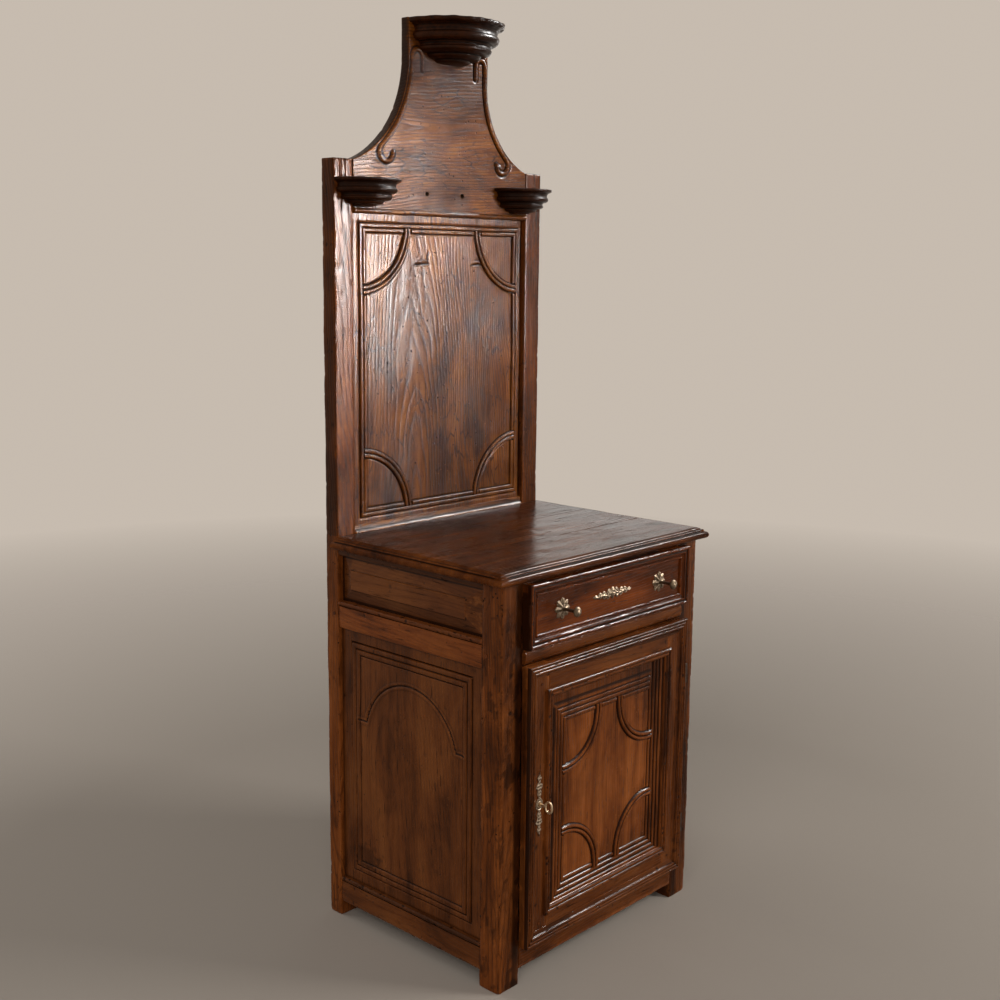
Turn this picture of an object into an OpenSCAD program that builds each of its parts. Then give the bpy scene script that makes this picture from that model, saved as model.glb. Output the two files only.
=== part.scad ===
// Lavabo cabinet in dark oak and walnut: a low cupboard with one drawer and one door,
// a panelled backboard, a waisted crest and three half round corbels.
// Millimetres, +Z up, the front faces -Y, origin at the bottom centre of the whole piece.

/* [Case] */
// Width over the corner posts
case_w = 638; // [590:1:700]
// Depth from the fronts of the posts to the backs of the stiles
case_d = 518; // [490:1:580]
// Height of the table surface above the floor
table_h = 866; // [840:1:920]
// Height of the back stiles above the table
back_h = 784; // [730:1:860]
// Height of the crest above the back stiles
crest_h = 300; // [280:1:360]

/* [Posts and rails] */
// Width of the front posts, seen from the front
post_w = 60; // [56:1:66]
// Depth of the front posts
post_d = 55; // [48:1:64]
// Width of the back stiles, seen from the front
stile_w = 52; // [46:1:60]
// Depth of the back stiles
stile_d = 38; // [36:1:46]
// Height of the feet under the rails
foot_h = 34; // [24:1:44]
// Thickness of the rails
rail_t = 24; // [22:1:28]
// Set back of the side rails from the faces of the posts
rail_set = 2; // [1:0.5:3]
// Length of the tenons
tenon_l = 26; // [16:1:28]
// Thickness of the tenons
tenon_t = 8; // [6:1:10]
// Radius of the joint pegs
peg_r = 4; // [3:0.5:5]

/* [Tabletop] */
// Thickness of the tabletop
top_t = 25; // [20:1:30]
// Overhang of the tabletop at each side
top_side = 22; // [14:1:32]
// Overhang of the tabletop at the front
top_front = 18; // [10:1:30]
// Radius of the round nose along the edge
nose_r = 8; // [6:0.5:9]
// Width of the moulded edge
edge_w = 19; // [18:1:26]
// Height of the upper step of the moulded edge
edge_step = 3.5; // [2:0.5:4]

/* [Side panels] */
// Height of the frieze opening
frieze_h = 101; // [80:1:110]
// Height of the side top rail
side_top_h = 15; // [13:1:24]
// Height of the side middle rail with its bead
side_mid_h = 59; // [44:1:70]
// Radius of the beads along the side rails
side_bead_r = 5.5; // [4:0.5:6.5]
// Thickness of the side panels
side_panel_t = 12; // [9:1:13]
// Set back of the side panels from the faces of the posts
side_panel_set = 10; // [8:0.5:11]
// Width of the bevel above and below the frieze field
bevel_w = 28; // [20:1:34]
// Width of the bevel at the ends of the frieze field
bevel_end = 38; // [24:1:60]
// Depth of the grooves that hold the panels
groove = 6; // [4:1:7]
// Distance from the posts to the scratched frame
line_side = 31; // [24:1:40]
// Distance from the side rails to the scratched frame
line_rail = 25; // [18:1:36]
// Pitch of the three lines of the scratched frame
line_pitch = 13; // [8:1:16]
// Width of the scratched lines
line_w = 3; // [1.5:0.5:4]
// Depth of the scratched lines
line_deep = 2; // [1:0.2:3]
// Radius of the scratched arch
arch_r = 139; // [110:1:145]
// Height of the centre of the arch above the floor
arch_z = 440; // [380:1:450]
// Height of the feet of the arch above its centre
arch_foot = 30; // [10:1:50]
// Length of the ears at the feet of the arch
arch_ear = 24; // [10:1:30]

/* [Drawer] */
// Height of the drawer front over its moulding
drawer_h = 130; // [125:1:140]
// Gap between the drawer front and the tabletop
drawer_drop = 5; // [3:1:10]
// Visible height of the rail between the drawer and the door
band_h = 35; // [28:1:45]
// How far the round of that rail stands before the posts
band_proud = 8; // [5:0.5:12]
// Lap of the drawer and the door over the posts
side_lap = 3; // [2:0.5:6]
// Lap of the drawer and the door over the rails
rail_lap = 10; // [8:1:12]
// How far the drawer moulding stands before the posts
drawer_proud = 24.5; // [22:0.5:30]
// How far the drawer board stands before the posts
drawer_face = 14; // [12:0.5:15]
// Thickness of the drawer front board
drawer_front_t = 22; // [18:1:26]
// Width of the moulding round the drawer front
drawer_frame_w = 27; // [26:1:32]
// Thickness of the drawer sides and back
drawer_side_t = 12; // [9:1:15]
// Height of the drawer sides
drawer_side_h = 92; // [70:1:96]
// Depth of the drawer box behind its front board
drawer_box_d = 432; // [360:1:440]
// Space between the drawer box and the inner face of each post
drawer_inset = 10; // [8:1:16]
// Thickness of the drawer bottom
drawer_bottom_t = 8; // [6:1:10]
// Height of the drawer bottom above the lower edge of the sides
drawer_bottom_z = 8; // [5:1:12]
// Thickness of the drawer runners
runner_t = 14; // [10:1:18]
// Height of the guides on the runners
guide_h = 20; // [12:1:30]
// Width of the guides on the runners
guide_w = 10; // [8:1:14]

/* [Drawer mounts] */
// Distance from the middle of the drawer to each knob
knob_x = 160; // [130:1:190]
// Projection of the knobs from the drawer board
knob_out = 45; // [35:1:55]
// Radius of the knob heads
knob_r = 10.5; // [8:0.5:14]
// Thickness of the knob heads
knob_t = 9; // [7:0.5:12]
// Radius of the knob shanks
shank_r = 3.4; // [2.5:0.1:5]
// Radius of the leaf tips on the plates behind the knobs
plate_r = 22; // [18:0.5:26]
// Thickness of the plates on the drawer and the door
plate_t = 1.5; // [1:0.1:2]
// Length of the scroll mount between the knobs
cartouche_w = 127; // [100:1:150]
// Height of the scroll mount
cartouche_h = 28; // [22:1:34]

/* [Door] */
// Visible height of the rail under the door
door_drop = 48; // [35:1:54]
// Thickness of the door frame
door_t = 16.5; // [16:0.5:20]
// Width of the door stiles and rails
door_frame_w = 64; // [60:1:72]
// Width of the reeds along the door edges
reed_w = 20; // [16:1:22]
// Height of the reeds over the door frame
reed_h = 7.5; // [6:0.5:9]
// Width of the hollow inside the reeds
cove_w = 9; // [6:0.5:9]
// Distance from the door edge to the raised moulding
bolection_in = 55; // [50:1:58]
// Width of the raised moulding
bolection_w = 19; // [18:1:24]
// Height of the raised moulding over the door frame
bolection_h = 8; // [6:0.5:10]
// How far the panel border stands behind the front of the door frame
door_panel_set = 2; // [1:0.5:3]
// Thickness of the door panel
door_panel_t = 11.5; // [10:0.5:12]
// Half width of the flat field of the door panel
field_x = 140; // [120:1:145]
// Distance from the door top to the flat field
field_top = 136; // [120:1:150]
// Distance from the door bottom to the flat field
field_bottom = 113; // [112:1:140]
// Width of each of the three steps round the field
step_w = 11; // [7:1:12]
// Depth of each step
step_d = 1.4; // [0.8:0.1:1.6]
// Outer radius of the four quarter arcs on the door
door_arc_r = 113; // [90:1:118]
// Width of the quarter arcs on the door
door_arc_w = 18; // [12:1:24]
// Height of the quarter arcs on the door
door_arc_h = 4; // [2:0.5:5]
// Distance of the door pegs from the door edges
door_peg_in = 42; // [40:0.5:46]

/* [Lock and hinges] */
// Distance from the left edge of the door to the key
key_in = 37; // [36:0.5:40]
// Height of the key above the floor
key_z = 382; // [340:1:420]
// Radius of the key shank
key_r = 3; // [2.5:0.1:3.5]
// Reach of the key bit from its axis
bit_r = 11; // [8:0.5:13]
// Thickness of the key bit
bit_t = 2.6; // [2:0.1:4]
// Height of the key bow
bow_h = 26; // [22:1:32]
// Width of the key bow
bow_w = 20; // [16:1:21]
// Radius of the bow wire
bow_wire = 2; // [1.5:0.1:3]
// Distance from the door plate to the middle of the bow
bow_out = 25; // [20:1:34]
// Height of the lock case
lock_h = 86; // [76:1:110]
// Width of the lock case
lock_w = 62; // [54:1:80]
// Depth of the lock case
lock_d = 18; // [16:1:22]
// Thickness of the iron of the lock case
lock_wall = 1.5; // [1:0.1:2]
// Height of the lock bolt
bolt_h = 20; // [14:1:26]
// Thickness of the lock bolt
bolt_t = 5; // [3:0.5:6]
// Length of the lock bolt
bolt_l = 48; // [38:1:50]
// Travel of the lock bolt
bolt_throw = 8; // [5:1:9]
// Reach of the keeper from the post
keeper_l = 8; // [6:0.5:9]
// Thickness of the iron of the keeper
keeper_t = 3; // [2:0.5:4]
// Length of the door plate with the keyhole
escutcheon_h = 136; // [110:1:160]
// Width of the door plate with the keyhole
escutcheon_w = 15; // [12:0.5:16]
// Radius of the round round the keyhole
keyhole_r = 10; // [8.5:0.5:11]
// Distance of the hinge axis from the door side and from the posts
hinge_off = 6; // [5.8:0.1:7]
// Outer radius of the hinge knuckles
knuckle_r = 5; // [4:0.1:5.3]
// Radius of the hinge pins
pin_r = 2.6; // [2:0.1:3]
// Height of each hinge
hinge_h = 90; // [70:1:120]
// Distance of the hinges from the ends of the door
hinge_in = 70; // [50:1:110]
// Thickness of the hinge leaves
leaf_t = 1.6; // [1:0.1:2]
// Width of the hinge leaves on the post
leaf_w = 30; // [22:1:40]

/* [Inside] */
// Height of the top of the shelf bearers above the floor
shelf_z = 380; // [250:1:450]
// Thickness of the shelf
shelf_t = 14; // [10:1:20]
// Size of the square bearers under the shelf
bearer = 14; // [10:1:20]
// Gap between the shelf and the door posts
shelf_set = 5; // [2:1:40]
// Thickness of the floor board
floor_t = 14; // [10:1:18]
// Thickness of the back boards
back_t = 12; // [8:1:14]
// Number of back boards
back_n = 3; // [2:1:5]

/* [Backboard] */
// Height of the rail above the table
upper_rail_h = 16; // [12:1:30]
// Set back of the upper panel from the fronts of the stiles
upper_set = 6; // [3:0.5:8]
// Thickness of the upper panel
upper_t = 12; // [10:1:14]
// Height of the bead under the crest
crest_bead_h = 12; // [9:1:16]
// Distance from the tops of the stiles down to the foot of the crest board
crest_drop = 97; // [90:1:110]
// Thickness of the crest board
crest_t = 24; // [22:1:28]
// Margin of the beaded frame from the stiles
frame_x = 19; // [12:1:30]
// Margin of the beaded frame from the rail above the table
frame_low = 14; // [8:1:30]
// Margin of the beaded frame from the bead under the crest
frame_high = 18; // [8:1:30]
// Width of the beaded frame and of its quarter arcs
frame_w = 20; // [14:1:24]
// Height of the beads of that frame
frame_bead = 3.5; // [2:0.5:4.5]
// Outer radius of the quarter arcs on the backboard
arc_r = 150; // [110:1:180]
// Length of the two small ledges beside the upper arcs
ledge_l = 38; // [20:1:50]
// Distance from the top of the beaded frame down to the ledges
ledge_drop = 86; // [60:1:100]

/* [Crest] */
// Half width of the neck of the crest
neck = 122; // [110:1:130]
// Shift of the neck to the right, as it was cut by hand
neck_shift = 13; // [0:1:16]
// Radius of the hollow at the left of the crest
hollow_left = 235; // [190:1:240]
// Radius of the hollow at the right of the crest
hollow_right = 192; // [170:1:205]
// Distance of the carved line from the edges of the hollows
carve_in = 10; // [8:1:14]
// Width of the carved line
carve_w = 8; // [6:0.5:9]
// Height of the carved line
carve_h = 2.5; // [1.5:0.5:3]
// Distance from the top of the crest down to the upper curls
carve_drop = 78; // [70:1:90]
// Radius of the upper curls of the carved line
curl_high = 15; // [11:1:18]
// Radius of the lower curls of the carved line
curl_low = 19; // [13:1:24]
// Radius of the two hanging holes in the crest
hole_r = 5; // [3:0.5:7]
// Distance between the two hanging holes
hole_pitch = 109; // [80:1:140]
// Height of the hanging holes above the foot of the crest board
hole_up = 36; // [20:1:50]

/* [Corbels] */
// Radius of the two lower corbels
corbel_r = 80; // [60:1:90]
// Height of the two lower corbels
corbel_h = 57; // [40:1:60]
// Distance from the tops of the stiles down to the lower corbels
corbel_drop = 38; // [24:1:38]
// Radius of the top corbel
top_corbel_r = 121; // [95:1:130]
// Height of the top corbel
top_corbel_h = 85; // [60:1:90]
// Number of turned steps on each corbel
corbel_n = 6; // [4:1:8]

/* [Hidden] */
$fn = 48;

// Clearances of glued or nailed joints, of sliding parts and of turning parts
fit = 0.1;
slide = 0.3;
turn = 0.05;
lip_gap = 0.6;
side_play = 0.5;
front_play = 1.5;

// Levels above the floor
under_top = table_h - top_t;
drawer_top = under_top - drawer_drop;
drawer_low = drawer_top - drawer_h;
door_top = drawer_low - band_h;
door_low = foot_h + door_drop;
stile_top = table_h + back_h;
crest_top = stile_top + crest_h;
crest_low = stile_top - crest_drop;
bead_low = crest_low - crest_bead_h;
upper_low = table_h + upper_rail_h;
frieze_top = under_top - side_top_h;
frieze_low = frieze_top - frieze_h;
side_mid_low = frieze_low - side_mid_h;
side_low_z = door_low + rail_lap + 1;
drawer_open = [drawer_low + rail_lap, drawer_top - rail_lap];

// Places across and from front to back, with y at 0 on the fronts of the posts
half = case_w / 2;
post_in = half - post_w;
stile_in = half - stile_w;
stile_y = case_d - stile_d;
back_y = case_d - back_t;
back_rail_y = back_y - rail_t;
lip_x = post_in + side_lap;
side_out = half - rail_set;
side_in = side_out - rail_t;
panel_out = half - side_panel_set;
panel_in = panel_out - side_panel_t;
knob_tip = drawer_face + knob_out;
front_y = (knob_tip - case_d) / 2;

// The edges of the frieze panel and the depths of its faces behind the posts
frieze_edge = 6;
frieze_set = 14;
frieze_field_set = 5;
shoulder = groove + 2;
peg_proud = 0.8;

// Shades of the wood and the metal
dark_oak = [0.20, 0.10, 0.055];
red_oak = [0.27, 0.13, 0.065];
deep_oak = [0.13, 0.065, 0.04];
raw_oak = [0.42, 0.30, 0.18];
old_iron = [0.33, 0.30, 0.26];
old_brass = [0.48, 0.40, 0.25];

// Moves a piece from the frame of the post fronts to the frame of the whole cabinet
module placed() translate([0, front_y, 0]) children();

// A block between two corners
module box(low, high) translate(low) cube(high - low);

// A piece at the right when side is 1, and its mirror image at the left when it is -1
module sided(side) mirror([side < 0 ? 1 : 0, 0, 0]) children();

// A flat outline in Y and Z, drawn out along X
module along_x(length) rotate([90, 0, 90]) linear_extrude(length) children();

// A flat outline in X and Z, drawn out along Y
module along_y(length) translate([0, length, 0]) rotate([90, 0, 0]) linear_extrude(length) children();

// A flat outline in X and Z that faces the front, with its height towards -Y
module facing_front(y) translate([0, y, 0]) rotate([90, 0, 0]) children();

// A round rod through a wall from y0 to y1
module rod_y(x, z, y0, y1, r) translate([x, y1, z]) rotate([90, 0, 0]) cylinder(r = r, h = y1 - y0);

// Four mitred lengths of moulding round a rectangle, from a section with its outer edge at x = 0
module mitred_side(length, from_middle, width) intersection() {
    translate([0, -from_middle, 0]) rotate([90, 0, 90])
        linear_extrude(length, center = true) children();
    linear_extrude(case_w, center = true) translate([0, -from_middle]) polygon([
        [-length / 2 - 1, -1], [length / 2 + 1, -1],
        [length / 2 - width - 1, width + 1], [width + 1 - length / 2, width + 1]]);
}
module mitred_frame(w, h, width) for (turn_by = [0, 180]) {
    rotate([0, 0, turn_by]) mitred_side(w, h / 2, width) children();
    rotate([0, 0, turn_by + 90]) mitred_side(h, w / 2, width) children();
}

// A row of half round reeds on a flat base; they overlap a little so that they meet in a valley
module reeds(count, width, height) {
    pitch = width / count;
    reed = (pitch + 0.4) / 2;
    square([width, height - reed]);
    for (i = [0 : count - 1]) translate([(i + 0.5) * pitch, height - reed]) circle(reed);
}

// A low ridge with sloping sides, as the section of a carved line
module ridge(width, height) polygon([
    [-width / 2 - 0.5, -1], [width / 2 + 0.5, -1], [width / 4, height], [-width / 4, height]]);

// Levels of the rails and the shoulders of their tenons
side_levels = [[foot_h, side_low_z], [side_mid_low, frieze_low], [frieze_top, under_top]];
side_steps = [[shoulder, shoulder], [shoulder, shoulder], [shoulder, 1]];
front_levels = [[foot_h, side_low_z], [door_top - rail_lap, drawer_open[0]],
    [drawer_open[1], under_top]];
front_steps = [[shoulder, shoulder], [shoulder, shoulder], [4, 2]];
back_levels = [[foot_h, side_low_z], [drawer_open[0] - rail_t, drawer_open[0] + rail_t],
    [under_top - rail_t, under_top]];
back_steps = [[shoulder, shoulder], [shoulder, shoulder], [shoulder, 2]];
front_tenon_y = rail_t / 2;
back_tenon_y = back_rail_y + rail_t / 2;
crest_tenon_y = stile_y + crest_t / 2;
side_tenon_x = (side_out + side_in) / 2;

// Tenons at both ends of a rail along X, which reach into the posts or the stiles
module tenons_x(x, y, z, step, grow = 0)
    box([-x - tenon_l - grow, y - tenon_t / 2 - grow, z[0] + step[0] - grow],
        [x + tenon_l + grow, y + tenon_t / 2 + grow, z[1] - step[1] + grow]);

// Tenons at both ends of a side rail along Y
module tenons_y(i, grow = 0)
    box([side_tenon_x - tenon_t / 2 - grow, post_d - tenon_l - grow,
            side_levels[i][0] + side_steps[i][0] - grow],
        [side_tenon_x + tenon_t / 2 + grow, stile_y + tenon_l + grow,
            side_levels[i][1] - side_steps[i][1] + grow]);

// Pegs through the outer faces of the posts into the tenons of the bottom and middle rails
module side_pegs(grow = 0)
    for (i = [0, 1], y = [post_d - tenon_l / 2, stile_y + tenon_l / 2])
        translate([side_tenon_x - tenon_t, y, (side_levels[i][0] + side_levels[i][1]) / 2])
            rotate([0, 90, 0]) cylinder(r = peg_r + grow, h = half + peg_proud - side_tenon_x + tenon_t);

// The flat edges of the two side panels, which sit in grooves all round
module side_edges(x0, x1, z0, z1, grow)
    box([x0 - grow, post_d - groove + fit - grow, z0 - groove + fit - grow],
        [x1 + grow, stile_y + groove - fit + grow, z1 + groove - fit + grow]);
module panel_grooves(grow) {
    side_edges(panel_in, panel_out, side_low_z, side_mid_low, grow);
    side_edges(half - frieze_set - frieze_edge, half - frieze_set, frieze_low, frieze_top, grow);
}

// The flat edges of the upper panel, in grooves of the stiles, the rail and the bead
module upper_edges(grow = 0)
    box([fit - stile_in - groove - grow, stile_y + upper_set - grow, upper_low - groove + fit - grow],
        [stile_in + groove - fit + grow, stile_y + upper_set + upper_t + grow,
            bead_low + groove - fit + grow]);
crest_step = [shoulder, shoulder];
module crest_tenons(grow = 0) tenons_x(stile_in, crest_tenon_y, [crest_low, stile_top], crest_step, grow);

// Corner posts and stiles
module front_post(side) sided(side) difference() {
    box([post_in, 0, 0], [half, post_d, under_top]);
    panel_grooves(fit);
    for (i = [0 : 2]) {
        tenons_y(i, fit);
        tenons_x(post_in, front_tenon_y, front_levels[i], front_steps[i], fit);
    }
    side_pegs(turn);
}
module back_stile(side) sided(side) difference() {
    box([stile_in, stile_y, 0], [half, case_d, stile_top]);
    panel_grooves(fit);
    for (i = [0 : 2]) {
        tenons_y(i, fit);
        tenons_x(stile_in, back_tenon_y, back_levels[i], back_steps[i], fit);
    }
    side_pegs(turn);
    upper_edges(fit);
    crest_tenons(fit);
}
module front_post_left() color(dark_oak) placed() front_post(-1);
module front_post_right() color(red_oak) placed() front_post(1);
module back_stile_left() color(dark_oak) placed() back_stile(-1);
module back_stile_right() color(dark_oak) placed() back_stile(1);

// The tabletop: its edge has two small steps above a round nose, and its tongue runs back
// between the stiles, rebated for the rail above it
rebate = 1;
module edge_section(reach) {
    square([reach - edge_w, top_t]);
    square([reach - edge_w + 5, top_t - edge_step]);
    square([reach - nose_r, 2 * nose_r]);
    translate([reach - nose_r, nose_r]) circle(nose_r);
}
top_x = half + top_side;
module tabletop() color(red_oak) placed() {
    intersection() {
        translate([0, -top_front - 1, under_top]) along_y(stile_y + top_front + 1 - fit) {
            edge_section(top_x);
            mirror([1, 0]) edge_section(top_x);
        }
        translate([-top_x - 1, stile_y - fit, under_top]) along_x(2 * top_x + 2)
            mirror([1, 0]) edge_section(stile_y - fit + top_front);
    }
    box([fit - stile_in, stile_y - 1, under_top], [stile_in - fit, back_y, table_h - rebate]);
}

// Side rails, the lower two with a bead along the upper edge
module side_rail(side, i, bead) sided(side) difference() {
    union() {
        box([side_in, post_d, side_levels[i][0]], [side_out, stile_y, side_levels[i][1]]);
        tenons_y(i);
        if (bead) translate([half - side_bead_r, post_d, side_levels[i][1] - side_bead_r])
            rotate([-90, 0, 0]) cylinder(r = side_bead_r, h = stile_y - post_d);
    }
    panel_grooves(fit);
    side_pegs(turn);
}
module side_top_rail_left() color(dark_oak) placed() side_rail(-1, 2, false);
module side_top_rail_right() color(dark_oak) placed() side_rail(1, 2, false);
module side_mid_rail_left() color(red_oak) placed() side_rail(-1, 1, true);
module side_mid_rail_right() color(red_oak) placed() side_rail(1, 1, true);
module side_bottom_rail_left() color(dark_oak) placed() side_rail(-1, 0, true);
module side_bottom_rail_right() color(dark_oak) placed() side_rail(1, 0, true);

// The frieze panel is raised and fielded: both its sections narrow towards the field
function fielded(low, high, bevel, rise) = let (edge = groove - fit) [
    [0, low - edge], [frieze_edge, low - edge], [frieze_edge, low], [frieze_edge + rise, low + bevel],
    [frieze_edge + rise, high - bevel], [frieze_edge, high], [frieze_edge, high + edge],
    [0, high + edge]];
module frieze_panel(side) sided(side) translate([half - frieze_set - frieze_edge, 0, 0])
    intersection() {
        along_y(case_d) polygon(fielded(frieze_low, frieze_top, bevel_w, frieze_set - frieze_field_set));
        linear_extrude(table_h)
            polygon(fielded(post_d, stile_y, bevel_end, frieze_set - frieze_field_set));
    }
module frieze_panel_left() color(deep_oak) placed() frieze_panel(-1);
module frieze_panel_right() color(deep_oak) placed() frieze_panel(1);

// The lower side panel, with a frame of three scratched lines and a scratched arch
module line_ring(inset) difference() {
    box([panel_out - line_deep, post_d + line_side + inset, side_low_z + line_rail + inset],
        [panel_out + 1, stile_y - line_side - inset, side_mid_low - line_rail - inset]);
    box([0, post_d + line_side + inset + line_w, side_low_z + line_rail + inset + line_w],
        [half, stile_y - line_side - inset - line_w, side_mid_low - line_rail - inset - line_w]);
}
module arch_line() {
    middle = (post_d + stile_y) / 2;
    foot_y = sqrt(arch_r * arch_r - arch_foot * arch_foot);
    translate([panel_out - line_deep, middle, arch_z]) difference() {
        rotate([0, 90, 0]) cylinder(r = arch_r, h = line_deep + 1, $fn = 96);
        translate([-1, 0, 0]) rotate([0, 90, 0]) cylinder(r = arch_r - line_w, h = line_deep + 3, $fn = 96);
        box([-1, -arch_r - 1, -arch_r - 1], [line_deep + 2, arch_r + 1, arch_foot]);
    }
    for (way = [-1, 1]) translate([0, middle, 0]) mirror([0, way < 0 ? 1 : 0, 0])
        box([panel_out - line_deep, foot_y - line_w - 1, arch_z + arch_foot - line_w],
            [panel_out + 1, foot_y + arch_ear, arch_z + arch_foot]);
}
module side_panel(side) sided(side) difference() {
    side_edges(panel_in, panel_out, side_low_z, side_mid_low, 0);
    for (i = [0 : 2]) line_ring(i * line_pitch);
    arch_line();
}
module side_panel_left() color(dark_oak) placed() side_panel(-1);
module side_panel_right() color(dark_oak) placed() side_panel(1);

// Rails between the front posts; the middle one shows a flat round
module front_rail(i) {
    box([-post_in, 0, front_levels[i][0]], [post_in, rail_t, front_levels[i][1]]);
    tenons_x(post_in, front_tenon_y, front_levels[i], front_steps[i]);
}
module front_top_rail() color(deep_oak) placed() front_rail(2);
module front_mid_rail() color(red_oak) placed() {
    front_rail(1);
    round_h = band_h - 4;
    round_r = (round_h * round_h / 4 + band_proud * band_proud) / (2 * band_proud);
    intersection() {
        translate([-lip_x, round_r - band_proud, (door_top + drawer_low) / 2])
            rotate([0, 90, 0]) cylinder(r = round_r, h = 2 * lip_x, $fn = 96);
        box([-lip_x, -band_proud - 1, door_top], [lip_x, 0, drawer_low]);
    }
}
module front_bottom_rail() color(red_oak) placed() front_rail(0);

// Rails and boards of the lower back
module back_rail(i) {
    box([-stile_in, back_rail_y, back_levels[i][0]], [stile_in, back_y, back_levels[i][1]]);
    tenons_x(stile_in, back_tenon_y, back_levels[i], back_steps[i]);
}
module back_top_rail() color(raw_oak) placed() back_rail(2);
module back_mid_rail() color(raw_oak) placed() back_rail(1);
module back_bottom_rail() color(raw_oak) placed() back_rail(0);
module back_boards() color(raw_oak) placed() {
    pitch = 2 * (stile_in - fit) / back_n;
    for (i = [0 : back_n - 1])
        box([fit - stile_in + i * pitch + slide, back_y, foot_h],
            [fit - stile_in + (i + 1) * pitch - slide, case_d, under_top]);
}

// The floor board is notched round the posts and rests on the bottom rails
module floor_board() color(raw_oak) placed() translate([0, 0, side_low_z]) difference() {
    box([side_play - panel_in, 2, 0], [panel_in - side_play, back_rail_y + rail_t / 2, floor_t]);
    for (side = [-1, 1]) sided(side) {
        box([post_in - side_play, 0, -1], [half, post_d + side_play, floor_t + 1]);
        box([stile_in - side_play, stile_y - side_play, -1], [half, case_d, floor_t + 1]);
    }
}
module shelf() color(raw_oak) placed()
    box([side_play - panel_in, post_d + shelf_set, shelf_z],
        [panel_in - side_play, stile_y - side_play, shelf_z + shelf_t]);
module shelf_bearers() color(raw_oak) placed() for (side = [-1, 1]) sided(side)
    box([panel_in - bearer, post_d, shelf_z - bearer], [panel_in, stile_y, shelf_z]);

// Each runner carries one side of the drawer, and its guide keeps the drawer straight
drawer_x = post_in - drawer_inset;
module drawer_runners() color(raw_oak) placed() for (side = [-1, 1]) sided(side) {
    translate([0, 0, drawer_open[0] - runner_t]) linear_extrude(runner_t) polygon([
        [drawer_x - drawer_side_t - 2, rail_t], [post_in - side_play, rail_t],
        [post_in - side_play, post_d], [side_in, post_d], [side_in, stile_y],
        [stile_in - side_play, stile_y], [stile_in - side_play, back_rail_y],
        [drawer_x - drawer_side_t - 2, back_rail_y]]);
    box([drawer_x + side_play, post_d, drawer_open[0] - 1],
        [drawer_x + side_play + guide_w, stile_y, drawer_open[0] + guide_h]);
}

// The upper panel: a beaded frame whose corners are cut off by quarter arcs
frame_half = stile_in - frame_x;
frame_z = [upper_low + frame_low, bead_low - frame_high];
module frame_reeds() reeds(2, frame_w, frame_bead);
// Quarter arcs about the corners of a rectangle; each starts and ends a little off its sides
module quarter_arcs(w, h, outer, width, height, start) for (i = [0 : 3])
    translate([(i == 0 || i == 3 ? -1 : 1) * w / 2, (i < 2 ? -1 : 1) * h / 2, 0])
        rotate([0, 0, 90 * i + start]) rotate_extrude(angle = 90 - 2 * start, $fn = 96)
            translate([outer - width, -1]) reeds(2, width, height + 1);
module upper_panel() color(dark_oak) placed() {
    h = frame_z[1] - frame_z[0];
    upper_edges();
    facing_front(stile_y + upper_set) translate([0, (frame_z[0] + frame_z[1]) / 2, 0]) {
        translate([0, 0, -1]) mitred_frame(2 * frame_half, h, frame_w) reeds(2, frame_w, frame_bead + 1);
        quarter_arcs(2 * frame_half, h, arc_r, frame_w, frame_bead, 1);
    }
    ledge_z = frame_z[1] - ledge_drop;
    ledge_x = frame_half - sqrt(arc_r * arc_r - ledge_drop * ledge_drop);
    for (side = [-1, 1]) sided(side)
        box([ledge_x - ledge_l, stile_y + upper_set - frame_bead, ledge_z],
            [ledge_x + frame_w / 2, stile_y + upper_set + 1, ledge_z + 5]);
}

// The small rail on the table, with a bevel towards the front
module upper_bottom_rail() color(red_oak) placed() difference() {
    translate([fit - stile_in, 0, table_h]) along_x(2 * (stile_in - fit)) polygon([
        [stile_y, -rebate], [stile_y + crest_t, -rebate], [stile_y + crest_t, upper_rail_h],
        [stile_y + 5, upper_rail_h], [stile_y, 5]]);
    upper_edges(fit);
}
module crest_bead() color(red_oak) placed() difference() {
    union() {
        box([fit - stile_in, stile_y, bead_low], [stile_in - fit, stile_y + crest_t, crest_low]);
        translate([fit - stile_in, stile_y, (bead_low + crest_low) / 2])
            rotate([0, 90, 0]) cylinder(r = crest_bead_h / 2, h = 2 * (stile_in - fit));
    }
    upper_edges(fit);
}

// The crest: each side has a hollow that starts upright at the neck and ends on its stile
function neck_edge(side) = neck + side * neck_shift;
function hollow(side) = side < 0 ? hollow_left : hollow_right;
function hollow_z(side) = let (r = hollow(side), in = stile_in - neck_edge(side))
    stile_top + sqrt(r * r - (r - in) * (r - in));
module crest_outline() difference() {
    translate([fit - stile_in, crest_low]) square([2 * (stile_in - fit), crest_top - crest_low]);
    for (side = [-1, 1]) mirror([side < 0 ? 1 : 0, 0]) {
        translate([neck_edge(side) + hollow(side), hollow_z(side)]) circle(hollow(side), $fn = 360);
        translate([neck_edge(side), hollow_z(side)]) square([case_w, crest_h]);
    }
}
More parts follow.
